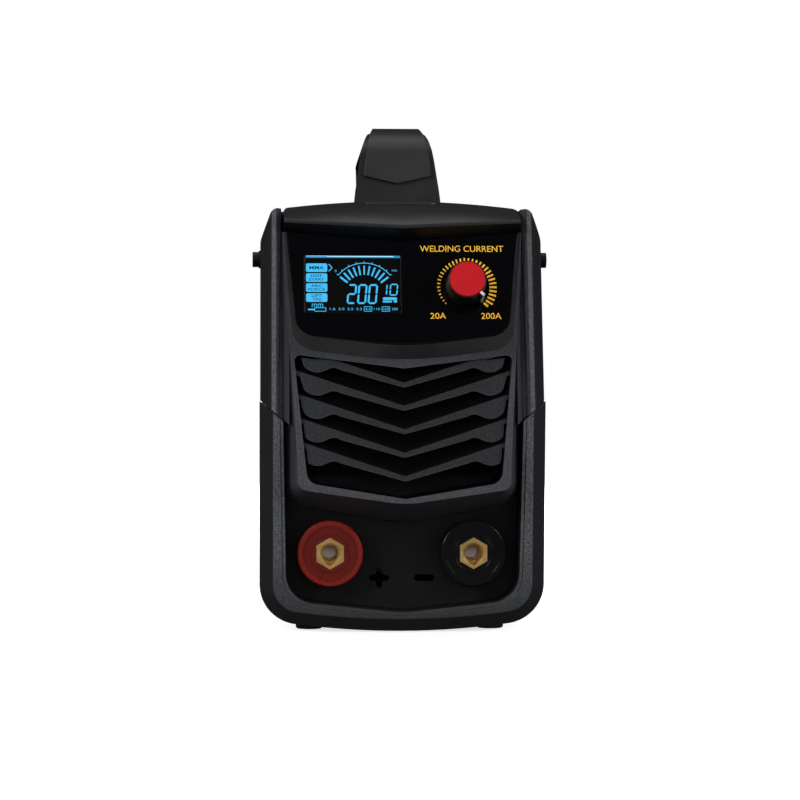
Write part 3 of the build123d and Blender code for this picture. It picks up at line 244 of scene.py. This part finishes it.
def grained(name, colour, roughness=0.58, grain=0.8 * MM, strength=0.5):
    """Coarse spark-eroded or powder coated surface, the same on every side."""
    made = Shader(name, colour, roughness)
    speck = made.noise(grain, 2.0, 0.6)
    made.paint(made.mix(made.ranged(speck, 0.35, 0.7), scaled(colour, 0.65), scaled(colour, 1.5)))
    made.rough(made.ranged(made.noise(28 * MM), 0.3, 0.7, roughness - 0.06, roughness + 0.06))
    made.bump(speck, strength, 0.12 * MM)
    return made.material


def polished(name, colour, roughness=0.06, coat=0.0):
    """Glossy moulding or printed acrylic with fine hairlines."""
    made = Shader(name, colour, roughness, Coat_Weight=coat)
    haze = made.noise(14 * MM, 4.0)
    made.paint(made.mix(haze, scaled(colour, 0.85), scaled(colour, 1.15)))
    made.rough(made.ranged(haze, 0.3, 0.75, roughness, roughness + 0.05))
    made.bump(made.noise(9 * MM, 1.0), 0.02, 0.1 * MM)
    return made.material


def metal(name, colour, roughness, grain=(1, 60, 60), tarnish=0.15, metallic=1.0):
    """Machined or plated metal with tool marks along one axis and a little tarnish."""
    made = Shader(name, colour, roughness, metallic)
    marks = made.noise(1.2 * MM, 2.0, 0.5, grain)
    stain = made.noise(5 * MM, 4.0)
    bright, dull = scaled(colour, 1.0 + tarnish), scaled(colour, 1 - 2 * tarnish)
    made.paint(made.mix(made.ranged(stain, 0.35, 0.75), bright, dull))
    made.rough(made.ranged(marks, 0.3, 0.7, roughness - 0.08, roughness + 0.1))
    made.bump(marks, 0.12, 0.05 * MM)
    return made.material


def glowing(name, colour, strength):
    """Lit display segment, a little uneven over the backlight."""
    made = Shader(name, scaled(colour, 0.2), 0.3)
    glow = made.noise(7 * MM, 2.0)
    made.link(made.mix(glow, scaled(colour, 0.86), scaled(colour, 1.1)), made.shader.inputs["Emission Color"])
    made.shader.inputs["Emission Strength"].default_value = strength
    return made.material


def printed(name, colour):
    """Screen-printed ink on the acrylic."""
    made = Shader(name, colour, 0.42)
    ink = made.noise(0.6 * MM, 2.0)
    made.paint(made.mix(ink, scaled(colour, 0.9), scaled(colour, 1.08)))
    made.bump(ink, 0.08, 0.03 * MM)
    return made.material


def wound(name, colour):
    """Enamelled wire wound side by side."""
    made = Shader(name, colour, 0.32, metallic=0.7)
    wave = made.node("TexWave", bands_direction="Z")
    wave.inputs["Scale"].default_value = 1 / (9 * MM)
    wave.inputs["Distortion"].default_value = 0.3
    made.link(made.coordinates(), wave.inputs["Vector"])
    made.paint(made.mix(wave.outputs["Fac"], scaled(colour, 0.45), scaled(colour, 1.1)))
    made.bump(wave.outputs["Fac"], 0.7, 0.5 * MM)
    return made.material


def circuit_board(name):
    """Solder resist over copper tracks."""
    made = Shader(name, (0.012, 0.09, 0.04), 0.32)
    track = made.node("TexBrick")
    track.inputs["Scale"].default_value = 1 / (24 * MM)
    for socket, colour in (("Color1", (0.012, 0.1, 0.045, 1)), ("Color2", (0.01, 0.07, 0.03, 1)),
                           ("Mortar", (0.03, 0.2, 0.09, 1))):
        track.inputs[socket].default_value = colour
    made.link(made.coordinates(), track.inputs["Vector"])
    made.paint(track.outputs["Color"])
    made.bump(made.noise(2 * MM), 0.1, 0.1 * MM)
    return made.material


# colours are linear; the charcoal plastics are shares of these two
# how far apart the two are set in each plastic is partly the finishes' own tone and partly painted light and
# shade
BAND = (0.037, 0.039, 0.044)
SMOOTH = (0.0105, 0.0108, 0.012)

materials = {
    # painted shade: the grain darker towards the bottom band, which tilts away from the lights
    "bezel": charcoal(
        "bezel_plastic", scaled(SMOOTH, 1.5), scaled(BAND, 1.6), shade_heights=(0.006, 0.048, 0.1, 1)),
    # painted light: the inner edge takes the lighter grained tone
    "cheek": charcoal("cheek_plastic", scaled(SMOOTH, 1.15), scaled(BAND, 1.45), lit_inner_edge=True),
    # painted light: the satin faces, such as the chin and the flanks, lighter than the grain, standing in for
    # light thrown onto them from the floor and the sides; painted shade: the grain darker towards the top
    "mask": charcoal(
        "mask_plastic", scaled(SMOOTH, 6.5), scaled(BAND, 1.35), roughness=0.6, edge_light=2.0, shine=0.12,
        specks=(0.7, 1.4), shade_heights=(0.152, 0.134, 0.4, 1)),
    # painted shade: the slats' satin tops nearly black, as shaded between the slats; painted highlight on their
    # sharp edges
    "louvre": charcoal(
        "louvre_plastic", scaled(SMOOTH, 0.2), scaled(BAND, 0.58), roughness=0.5, edge_light=3.6, shine=0.15,
        specks=(0.75, 1.35)),
    "hood": shaded_below("hood_plastic", (0.0225, 0.023, 0.025)),
    "frame": satin("display_frame_plastic", (0.006, 0.0062, 0.007), 0.36, shine=0.4),
    "handle": satin("handle_plastic", (0.014, 0.0141, 0.015), 0.42, 0.7 * MM, 0.2),
    "grip": satin("grip_plastic", (0.0245, 0.0247, 0.0262), 0.4, 0.7 * MM, 0.2),
    "panel": satin("recess_plastic", (0.0042, 0.0043, 0.0047), 0.36, shine=0.35),
    "rear": grained("rear_plastic", (0.022, 0.023, 0.025)),
    "window": polished("window_acrylic", (0.0012, 0.0011, 0.0018)),
    "lcd": polished("lcd_glass", (0.0035, 0.003, 0.003), 0.12),
    "knob": satin("knob_black", (0.009, 0.009, 0.0092), 0.28),
    "knob_red": satin("knob_red", (0.5, 0.004, 0.010), 0.55, 0.5 * MM, 0.1, shine=0.25),
    "pointer": satin("pointer_silver", (0.62, 0.63, 0.65), 0.3),
    "socket_red": ringed(
        "socket_red", (0.094, 0.0062, 0.003), (0.165, 0.0095, 0.0055), "positive_socket_insulator"),
    "socket_black": polished("socket_black", (0.0045, 0.0045, 0.005), 0.16, 0.3),
    "brass": metal("turned_brass", (0.86, 0.56, 0.2), 0.4, metallic=0.82),
    "bolt": metal("bright_bolt_end", (0.55, 0.56, 0.58), 0.5, (8, 8, 8), 0.08, 0.35),
    "zinc": metal("zinc_plate", (0.56, 0.57, 0.58), 0.34, (8, 8, 8), 0.1),
    "black_steel": metal("blackened_steel", (0.045, 0.045, 0.047), 0.4, (8, 8, 8), 0.2),
    "cover": grained("cover_powder_coat", (0.016, 0.0163, 0.0175), 0.5, 0.9 * MM, 0.45),
    "tray": grained("tray_powder_coat", (0.014, 0.0142, 0.015), 0.52, 0.9 * MM, 0.45),
    "guard": satin("guard_coating", (0.012, 0.012, 0.0125), 0.32),
    "fan": satin("fan_plastic", (0.008, 0.008, 0.0085), 0.34),
    "foam": grained("filter_foam", (0.003, 0.003, 0.003), 0.9, 1.6 * MM, 1.0),
    "rubber": grained("foot_rubber", (0.012, 0.012, 0.012), 0.8, 0.5 * MM, 0.35),
    "switch": satin("switch_plastic", (0.008, 0.008, 0.008), 0.3),
    "rocker": polished("rocker_red", (0.42, 0.012, 0.012), 0.18),
    "gland": satin("gland_nylon", (0.011, 0.011, 0.0115), 0.44),
    "board": circuit_board("circuit_board"),
    "epoxy": grained("moulded_epoxy", (0.012, 0.012, 0.012), 0.6, 0.4 * MM, 0.2),
    "aluminium": metal("extruded_aluminium", (0.78, 0.79, 0.8), 0.36, (60, 1, 60), 0.06),
    "sleeve": polished("capacitor_sleeve", (0.01, 0.03, 0.12), 0.2),
    "ferrite": grained("sintered_ferrite", (0.035, 0.035, 0.038), 0.7, 0.4 * MM, 0.2),
    "copper": wound("enamelled_copper", (0.62, 0.22, 0.08)),
    "yellow": printed("yellow_ink", (0.95, 0.52, 0.04)),
    "white": printed("white_ink", (0.7, 0.7, 0.68)),
    "segment": glowing("display_segment", (0.05, 0.46, 0.80), 1.0),
    "backlight": glowing("display_edge_glow", (0.01, 0.24, 0.52), 1.0),
    "glare": glowing("display_edge_glare", (0.45, 0.84, 1.0), 1.0),
    "lcd_dark": glowing("display_key_print", (0.002, 0.04, 0.13), 1.0),
    "lcd_edge": satin("display_edge", (0.05, 0.05, 0.055), 0.4),
}

node_materials = {
    "lower_bezel": "bezel", "left_cheek": "cheek", "right_cheek": "cheek", "front_mask": "mask",
    "grille_louvres": "louvre", "hood": "hood", "display_frame": "frame", "display_window": "window",
    "lcd_module": "lcd", "control_board": "board", "encoder_body": "epoxy", "encoder_plunger": "zinc",
    "encoder_shaft": "zinc", "control_knob": "knob", "knob_cap": "knob_red", "knob_pointer": "pointer",
    "front_panel": "panel", "dust_filter": "foam", "positive_socket_insulator": "socket_red",
    "negative_socket_insulator": "socket_black", "positive_socket_contact": "brass",
    "negative_socket_contact": "brass", "socket_nuts": "brass", "socket_bolts": "bolt",
    "positive_busbar": "brass", "negative_busbar": "brass", "metal_cover": "cover", "chassis_tray": "tray",
    "feet": "rubber", "foot_screws": "zinc", "handle_strap": "handle", "handle_grip": "grip",
    "handle_screws": "zinc", "side_screws": "black_steel", "side_washers": "black_steel",
    "rear_panel": "rear", "rear_screws": "black_steel", "fan_guard": "guard", "fan_housing": "fan",
    "fan_rotor": "fan", "fan_screws": "black_steel", "power_switch_body": "switch",
    "power_switch_rocker": "rocker", "cable_gland": "gland", "gland_nut": "gland", "earth_screw": "brass",
    "main_board": "board", "board_standoffs": "zinc", "primary_heatsink": "aluminium",
    "secondary_heatsink": "aluminium", "power_transistors": "epoxy", "output_diodes": "epoxy",
    "bridge_rectifier": "epoxy", "bulk_capacitors": "sleeve", "transformer_core": "ferrite",
    "transformer_winding": "copper", "output_choke": "copper",
}

# widths of the rounded edges; the other nodes have small_edge
small_edge = 0.15 * MM
edge_widths = {
    "lower_bezel": 0.45 * MM, "left_cheek": 0.3 * MM, "right_cheek": 0.3 * MM, "front_mask": 0.4 * MM,
    "hood": 0.5 * MM, "handle_grip": 0.8 * MM, "handle_strap": 0.8 * MM, "grille_louvres": 0.25 * MM,
    "display_frame": 0.25 * MM, "rear_panel": 0.4 * MM, "feet": 0.3 * MM, "fan_guard": 0.3 * MM,
}


def finish_node(name, node):
    """Welds the frame's mesh, rounds its sharp edges and gives it its material."""
    node.data.materials.clear()
    node.data.materials.append(materials[node_materials[name]])
    node.data.shade_smooth()
    weld = node.modifiers.new("weld", "WELD")
    weld.merge_threshold = 0.002 * MM
    flat = node.modifiers.new("flat_faces", "DECIMATE")
    flat.decimate_type = "DISSOLVE"
    flat.angle_limit = math.radians(0.4)
    bevel = node.modifiers.new("round_edges", "BEVEL")
    bevel.width = edge_widths.get(name, small_edge)
    bevel.segments = 2
    bevel.limit_method = "ANGLE"
    bevel.angle_limit = math.radians(28)
    bevel.use_clamp_overlap = True
    bevel.harden_normals = True
    node.modifiers.new("face_normals", "WEIGHTED_NORMAL").keep_sharp = True


for node_name, node_object in nodes.items():
    finish_node(node_name, node_object)


# ---------------------------------------------------------------- the tilted display panel
knob_joint = joints["knob_turn"]
panel_normal = Vector(knob_joint["axis"])
panel_right = Vector((1, 0, 0))
panel_up = panel_normal.cross(panel_right)
panel_origin = Vector((0, knob_joint["pos_m"][1], knob_joint["pos_m"][2]))
knob_x = knob_joint["pos_m"][0]
INK = 0.05 * MM


def on_panel(x, y, height):
    """Point from millimetres right of the middle, up from knob height and out from the window's face."""
    return panel_origin + panel_right * x * MM + panel_up * y * MM + panel_normal * height * MM


def panel_matrix(x, y, height):
    place = Matrix((panel_right, panel_up, panel_normal)).transposed().to_4x4()
    place.translation = on_panel(x, y, height)
    return place


def panel_extent(name):
    """Extents of a node's front in millimetres: least and most to the right and up, and most out."""
    points = [vertex.co - panel_origin for vertex in nodes[name].data.vertices]
    outs = [point.dot(panel_normal) for point in points]
    front = [p for p, out in zip(points, outs) if out > max(outs) - 0.05 * MM]
    rights = [p.dot(panel_right) / MM for p in front]
    ups = [p.dot(panel_up) / MM for p in front]
    return (min(rights), max(rights)), (min(ups), max(ups)), max(outs) / MM


class Print:
    """Flat shapes on the panel, gathered into one thin raised piece."""

    def __init__(self, name, material, slot, centre, height, body="housing"):
        self.name = name
        self.material = materials[material]
        self.slot = slot
        self.centre = centre
        self.height = height
        self.body = body
        self.mesh = bmesh.new()

    def polygon(self, points):
        """Outline in millimetres from the centre, raised by the thickness of the ink."""
        low = [self.mesh.verts.new((x * MM, y * MM, 0)) for x, y in points]
        high = [self.mesh.verts.new((x * MM, y * MM, INK)) for x, y in points]
        self.mesh.faces.new(high)
        self.mesh.faces.new(list(reversed(low)))
        for index in range(len(points)):
            after = (index + 1) % len(points)
            self.mesh.faces.new((low[index], low[after], high[after], high[index]))

    def bar(self, start, end, width):
        direction = (Vector(end) - Vector(start)).normalized()
        side = Vector((-direction.y, direction.x)) * width / 2
        corners = [Vector(start) - side, Vector(end) - side, Vector(end) + side, Vector(start) + side]
        self.polygon([tuple(corner) for corner in corners])

    def rounded(self, x, y, width, height, radius, steps=5):
        points = []
        for turn, (sign_x, sign_y) in enumerate(((1, 1), (-1, 1), (-1, -1), (1, -1))):
            for step in range(steps + 1):
                angle = math.pi / 2 * (turn + step / steps)
                corner = (x + sign_x * (width / 2 - radius), y + sign_y * (height / 2 - radius))
                points.append((corner[0] + radius * math.cos(angle), corner[1] + radius * math.sin(angle)))
        self.polygon(points)

    def outline(self, x, y, width, height, line):
        """Frame with square corners."""
        for sign in (-1, 1):
            self.bar((x - width / 2, y + sign * height / 2), (x + width / 2, y + sign * height / 2), line)
            self.bar((x + sign * width / 2, y - height / 2), (x + sign * width / 2, y + height / 2), line)

    def arc(self, x, y, radius, first, last, width, steps=28):
        """Line along a circle; angles in degrees clockwise from the top."""
        inner, outer = [], []
        for step in range(steps + 1):
            angle = math.radians(first + (last - first) * step / steps)
            direction = (math.sin(angle), math.cos(angle))
            inner.append((x + (radius - width / 2) * direction[0], y + (radius - width / 2) * direction[1]))
            outer.append((x + (radius + width / 2) * direction[0], y + (radius + width / 2) * direction[1]))
        for step in range(steps):
            self.polygon([inner[step], inner[step + 1], outer[step + 1], outer[step]])

    def words(self, text, x, y, width, height, bold=0.0):
        """Plain lettering, as thick as the ink, that fills a width and a height about a middle."""
        curve = bpy.data.curves.new("lettering", "FONT")
        curve.body = text
        curve.offset = bold
        curve.extrude = 0.05
        carrier = bpy.data.objects.new("lettering", curve)
        scene.collection.objects.link(carrier)
        flat = bpy.data.meshes.new_from_object(carrier)
        xs = [vertex.co.x for vertex in flat.vertices]
        ys = [vertex.co.y for vertex in flat.vertices]
        middle = Vector(((min(xs) + max(xs)) / 2, (min(ys) + max(ys)) / 2, 0))
        sizes = (width * MM / (max(xs) - min(xs)), height * MM / (max(ys) - min(ys)))
        start = len(self.mesh.verts)
        self.mesh.from_mesh(flat)
        self.mesh.verts.ensure_lookup_table()
        for vertex in self.mesh.verts[start:]:
            offset = vertex.co - middle
            level = INK if offset.z > 0 else 0
            vertex.co = Vector((offset.x * sizes[0] + x * MM, offset.y * sizes[1] + y * MM, level))
        bpy.data.objects.remove(carrier)
        bpy.data.curves.remove(curve)
        bpy.data.meshes.remove(flat)

    def done(self, matrix=None):
        bmesh.ops.recalc_face_normals(self.mesh, faces=self.mesh.faces)
        data = bpy.data.meshes.new(self.name)
        self.mesh.to_mesh(data)
        self.mesh.free()
        data.materials.append(self.material)
        piece = bpy.data.objects.new(self.name, data)
        scene.collection.objects.link(piece)
        piece.matrix_world = matrix or panel_matrix(self.centre[0], self.centre[1], self.height)
        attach(piece, self.body)
        return piece


# ---------------------------------------------------------------- dial
def dial():
    """Ticks that grow clockwise round the knob, with plain numbers for the two ends."""
    knob_middle = (knob_x / MM, 0.4)
    ink = Print("dial_print", "yellow", "white_mark", knob_middle, 0.0)
    tick_count = 33
    sweep = 131.0  # degrees from the top to each end
    inner_radius = 13.3
    for index in range(tick_count):
        share = index / (tick_count - 1)
        angle = math.radians(-sweep + 2 * sweep * share)
        direction = Vector((math.sin(angle), math.cos(angle)))
        length = 0.7 + 3.7 * share ** 0.8
        if index == tick_count - 1:
            length *= 0.7
        outer_radius = inner_radius + length
        ink.bar(tuple(direction * inner_radius), tuple(direction * outer_radius), 0.62 + 0.5 * share)
    for text, x, y, width, height in (("20A", 18.9, -15.9, 8.4, 3.3), ("200A", 47.4, -15.9, 10.9, 3.3),
                                      ("WELDING CURRENT", 32.0, 21.3, 45.0, 3.4)):
        ink.words(text, x - knob_middle[0], y, width, height, 0.006)
    ink.done()


# ---------------------------------------------------------------- lit display
SEVEN_SEGMENTS = {"0": "abcdef", "1": "bc", "2": "abged"}


def digit(ink, value, x, y, width, height, line):
    """Slanted seven-segment digit about a middle."""
    gap = 0.12
    slant = 0.09
    half_w, half_h = width / 2 - line / 2, height / 2 - line / 2
    ends = {
        "a": ((-half_w, half_h), (half_w, half_h)),
        "b": ((half_w, half_h), (half_w, 0)),
        "c": ((half_w, 0), (half_w, -half_h)),
        "d": ((-half_w, -half_h), (half_w, -half_h)),
        "e": ((-half_w, 0), (-half_w, -half_h)),
        "f": ((-half_w, half_h), (-half_w, 0)),
        "g": ((-half_w, 0), (half_w, 0)),
    }
    for segment in SEVEN_SEGMENTS[value]:
        start, end = (Vector(point) for point in ends[segment])
        along = (end - start).normalized()
        side = Vector((-along.y, along.x)) * line / 2
        first, last = start + along * gap, end - along * gap
        tip = along * line / 2
        shape = [first, first + tip - side, last - tip - side, last, last - tip + side, first + tip + side]
        ink.polygon([(x + point.x + slant * point.y, y + point.y) for point in shape])


def display():
    """Everything that lights up behind the glass: mode keys, arc gauge, digits and the bottom scale."""
    (left, right), (low, high), depth = panel_extent("lcd_module")
    centre = ((left + right) / 2, (low + high) / 2)
    half_w, half_h = (right - left) / 2, (high - low) / 2
    surface = depth + 0.01

    glow = Print("display_edge_glow", "backlight", "display", centre, surface)
    glow.bar((-half_w + 0.6, half_h - 0.95), (half_w - 0.1, half_h - 0.95), 1.2)
    glow.done()
    glare = Print("display_edge_glare", "glare", "display", centre, surface + 0.06)
    glare.bar((-half_w + 12, half_h - 0.75), (half_w - 3.5, half_h - 0.75), 0.42)
    glare.bar((-half_w + 1, half_h - 0.55), (-half_w + 12, half_h - 0.55), 0.2)
    glare.done()
    rim = Print("display_left_edge", "lcd_edge", "display", centre, surface)
    rim.bar((-half_w + 0.2, -half_h + 0.4), (-half_w + 0.2, half_h - 0.4), 0.22)
    rim.done()

    lit = Print("display_segments", "segment", "display", centre, surface)
    key_x = -19.2
    keys = [8.9 - 5.51 * row for row in range(4)]
    for key in keys:
        lit.rounded(key_x, key, 11.4, 4.75, 0.9)
    for sign in (-1, 1):
        lit.bar((-12.7, keys[0] + sign * 2.0), (-10.9, keys[0]), 0.5)
    gauge = Vector((6.3, -6.27))
    gauge_end = 51.5
    lit.arc(*gauge, 17.77, -gauge_end, gauge_end, 0.42)
    for angle in (-gauge_end, -41, -27, -13.5, 0, 13.5, 27, 41, gauge_end):
        direction = Vector((math.sin(math.radians(angle)), math.cos(math.radians(angle))))
        lit.bar(tuple(gauge + direction * 17.7), tuple(gauge + direction * 18.7), 0.4)
    for index in range(11):
        angle = math.radians(-52 + 10.4 * index)
        direction = Vector((math.sin(angle), math.cos(angle)))
        wide = 0.8 + 0.25 * abs(index - 5) / 5
        lit.bar(tuple(gauge + direction * 11.3), tuple(gauge + direction * 16.4), wide)
    for value, x in zip("200", (-0.4, 5.2, 10.85)):
        digit(lit, value, x, -5.65, 4.9, 11.0, 0.98)
    digit(lit, "1", 16.6, -3.2, 4.2, 6.6, 0.72)
    digit(lit, "0", 22.1, -3.2, 4.4, 6.6, 0.72)
    lit.rounded(20.0, -8.15, 7.6, 1.5, 0.6)
    lit.rounded(18.6, -9.75, 5.0, 1.0, 0.3)
    lit.rounded(22.9, -9.6, 1.8, 1.3, 0.3)
    lit.words("mm", -18.8, -11.9, 6.0, 1.9)
    lit.bar((-23.9, -14.2), (-20.5, -14.2), 0.8)
    lit.outline(-17.3, -14.2, 6.0, 1.9, 0.35)
    for index, text in enumerate(("1.6", "2.0", "2.5", "3.2", "4.0", "110", "160", "200")):
        x = -10.8 + 4.76 * index
        lit.words(text, x, -13.85, 3.1, 1.25)
        if index in (4, 6):
            lit.outline(x, -13.85, 4.1, 2.5, 0.3)
    lit.words("0", -9.0, 7.1, 0.9, 1.3)
    lit.words("MAX", 22.6, 7.4, 2.9, 1.1)
    lit.done()

    dark = Print("display_key_print", "lcd_dark", "display", centre, surface + 0.06)
    modes = (
        (("MMA", 7.8),),
        (("HOT", 6.0), ("START", 8.2)),
        (("ARC", 6.2), ("FORCE", 9.0)),
        (("LIFT", 5.4), ("TIG", 4.5)),
    )
    for key, lines in zip(keys, modes):
        single = len(lines) == 1
        for row, (text, wide) in enumerate(lines):
            offset = 0 if single else 1.0 - 2.0 * row
            dark.words(text, key_x, key + offset, wide, 1.9 if single else 1.5, 0.01)
    dark.done()


# ---------------------------------------------------------------- small trim
def disc(name, material, centre, axis, radius, thickness):
    """Turned head with a rounded rim, centred on its outer face."""
    mesh = bmesh.new()
    steps = 32
    turns = [2 * math.pi * step / steps for step in range(steps)]
    rings = []
    for share, depth in ((0.8, 0), (0.95, 0.15), (1, 0.4), (1, 1)):
        r = radius * share
        ring = [mesh.verts.new((r * math.cos(t), r * math.sin(t), -thickness * depth)) for t in turns]
        rings.append(ring)
    mesh.faces.new(rings[0])
    for lower, upper in zip(rings[1:], rings):
        for s in range(steps):
            after = (s + 1) % steps
            mesh.faces.new((lower[s], lower[after], upper[after], upper[s]))
    mesh.faces.new(list(reversed(rings[-1])))
    data = bpy.data.meshes.new(name)
    bmesh.ops.recalc_face_normals(mesh, faces=mesh.faces)
    mesh.to_mesh(data)
    mesh.free()
    data.materials.append(materials[material])
    piece = bpy.data.objects.new(name, data)
    scene.collection.objects.link(piece)
    piece.rotation_mode = "QUATERNION"
    piece.rotation_quaternion = Vector(axis).to_track_quat("Z", "Y")
    piece.location = centre
    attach(piece, "housing")
    return piece


def seam_inserts():
    """Brass inserts that glint in the seams between the bezel and the cheeks."""
    low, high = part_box("lower_bezel")
    for side, label in ((-1, "left"), (1, "right")):
        centre = (side * (high.x - 3.0 * MM), low.y + 16 * MM, high.z - 2.4 * MM)
        disc(label + "_seam_insert", "brass", centre, (0, -1, 0), 1.1 * MM, 3 * MM)


def rocker_marks():
    """On and off marks on the rocker, which move with it."""
    low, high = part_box("power_switch_rocker")
    middle = (low + high) / 2
    tilt = math.radians(20)  # between the two halves of the rocker's face
    on_mark = Print("rocker_on_mark", "white", "white_mark", (0, 0), 0, "rocker")
    on_mark.bar((0, -1.7), (0, 1.7), 0.7)
    off_mark = Print("rocker_off_mark", "white", "white_mark", (0, 0), 0, "rocker")
    off_mark.arc(0, 0, 1.6, 0, 360, 0.6, 24)
    axis = Vector(joints["power_rocker"]["pos_m"])
    for mark, lean, drop in ((off_mark, 0.0, -1), (on_mark, tilt, 1)):
        outward = Vector((0, math.cos(lean), math.sin(lean)))
        up = Vector((0, -math.sin(lean), math.cos(lean)))
        place = Matrix((Vector((-1, 0, 0)), up, outward)).transposed().to_4x4()
        place.translation = Vector((middle.x, axis.y, axis.z)) + outward * 6.21 * MM + up * drop * 5.2 * MM
        mark.done(place)


dial()
display()
seam_inserts()
rocker_marks()


# ---------------------------------------------------------------- stage, light and camera
def pale_floor():
    bpy.ops.mesh.primitive_plane_add(size=30, location=(0, 0, 0))
    floor = bpy.context.object
    floor.name = "floor"
    made = Shader("pale_floor", (0.8, 0.8, 0.8), 0.9)
    distance = made.node("VectorMath", operation="LENGTH")
    made.link(made.coordinates(), distance.inputs[0])
    glow = made.ranged(distance.outputs["Value"], 0.25, 0.9, 0.72, 1.05)
    made.shader.inputs["Emission Color"].default_value = (1, 1, 1, 1)
    made.link(glow, made.shader.inputs["Emission Strength"])
    made.shader.inputs["Specular IOR Level"].default_value = 0.0
    floor.data.materials.append(made.material)
    # the machine stands in a black tent: the floor is bright but gives it no light
    floor.visible_glossy = False
    floor.visible_diffuse = False


def studio_world(seen, lit):
    """Pale surroundings: bright where the camera sees them, weaker as a light."""
    world = bpy.data.worlds.new("studio")
    world.use_nodes = True
    tree = world.node_tree
    tree.nodes.clear()
    path = tree.nodes.new("ShaderNodeLightPath")
    mix = tree.nodes.new("ShaderNodeMixShader")
    output = tree.nodes.new("ShaderNodeOutputWorld")
    for index, strength in ((1, lit), (2, seen)):
        background = tree.nodes.new("ShaderNodeBackground")
        background.inputs["Color"].default_value = (1, 1, 1, 1)
        background.inputs["Strength"].default_value = strength
        tree.links.new(background.outputs[0], mix.inputs[index])
    tree.links.new(path.outputs["Is Camera Ray"], mix.inputs[0])
    tree.links.new(mix.outputs[0], output.inputs[0])
    scene.world = world


def softbox(name, place, aim, size, watts, glossy=True):
    light = bpy.data.lights.new(name, "AREA")
    light.shape = "RECTANGLE"
    light.size, light.size_y = size
    light.energy = watts
    box = bpy.data.objects.new(name, light)
    box.location = place
    box.rotation_mode = "QUATERNION"
    box.rotation_quaternion = (Vector(aim) - Vector(place)).to_track_quat("-Z", "Y")
    box.visible_camera = False
    box.visible_glossy = glossy
    scene.collection.objects.link(box)


def camera():
    """Straight on from the front, a little left of the middle, at about half height."""
    data = bpy.data.cameras.new("camera")
    data.lens = 110.4
    data.sensor_width = 36
    data.clip_start, data.clip_end = 0.1, 60
    made = bpy.data.objects.new("camera", data)
    made.location = (-0.068, -1.445, 0.1251)
    made.rotation_mode = "QUATERNION"
    aim = Vector((-0.0021, -0.145, 0.1251))
    made.rotation_quaternion = (aim - made.location).to_track_quat("-Z", "Y")
    scene.collection.objects.link(made)
    scene.camera = made


pale_floor()
studio_world(1.0, 0.03)
softbox("key", (-1.25, -1.6, 0.95), (0, -0.1, 0.14), (0.7, 0.9), 16)
softbox("fill", (1.4, -1.5, 0.7), (0, -0.1, 0.14), (0.7, 0.9), 11)
softbox("front", (0.05, -1.8, 0.3), (0, -0.1, 0.14), (1.2, 0.4), 11, glossy=False)
softbox("top", (0, -0.1, 1.5), (0, -0.1, 0.1), (0.9, 0.7), 2.6)
# the lights behind the machine only show its rear and sides, and leave no streaks along its top edges
softbox("rear", (0.3, 2.0, 0.75), (0, 0.1, 0.12), (1.1, 0.8), 24, glossy=False)
for label, side in (("rear_left", -1), ("rear_right", 1)):
    softbox(label, (side * 1.6, 1.25, 0.4), (0, 0, 0.12), (0.8, 0.9), 30, glossy=False)
softbox("bounce", (0, -0.62, 0.015), (0, -0.1, 0.16), (0.9, 0.5), 0.5, glossy=False)
camera()
scene.view_settings.view_transform = "Standard"
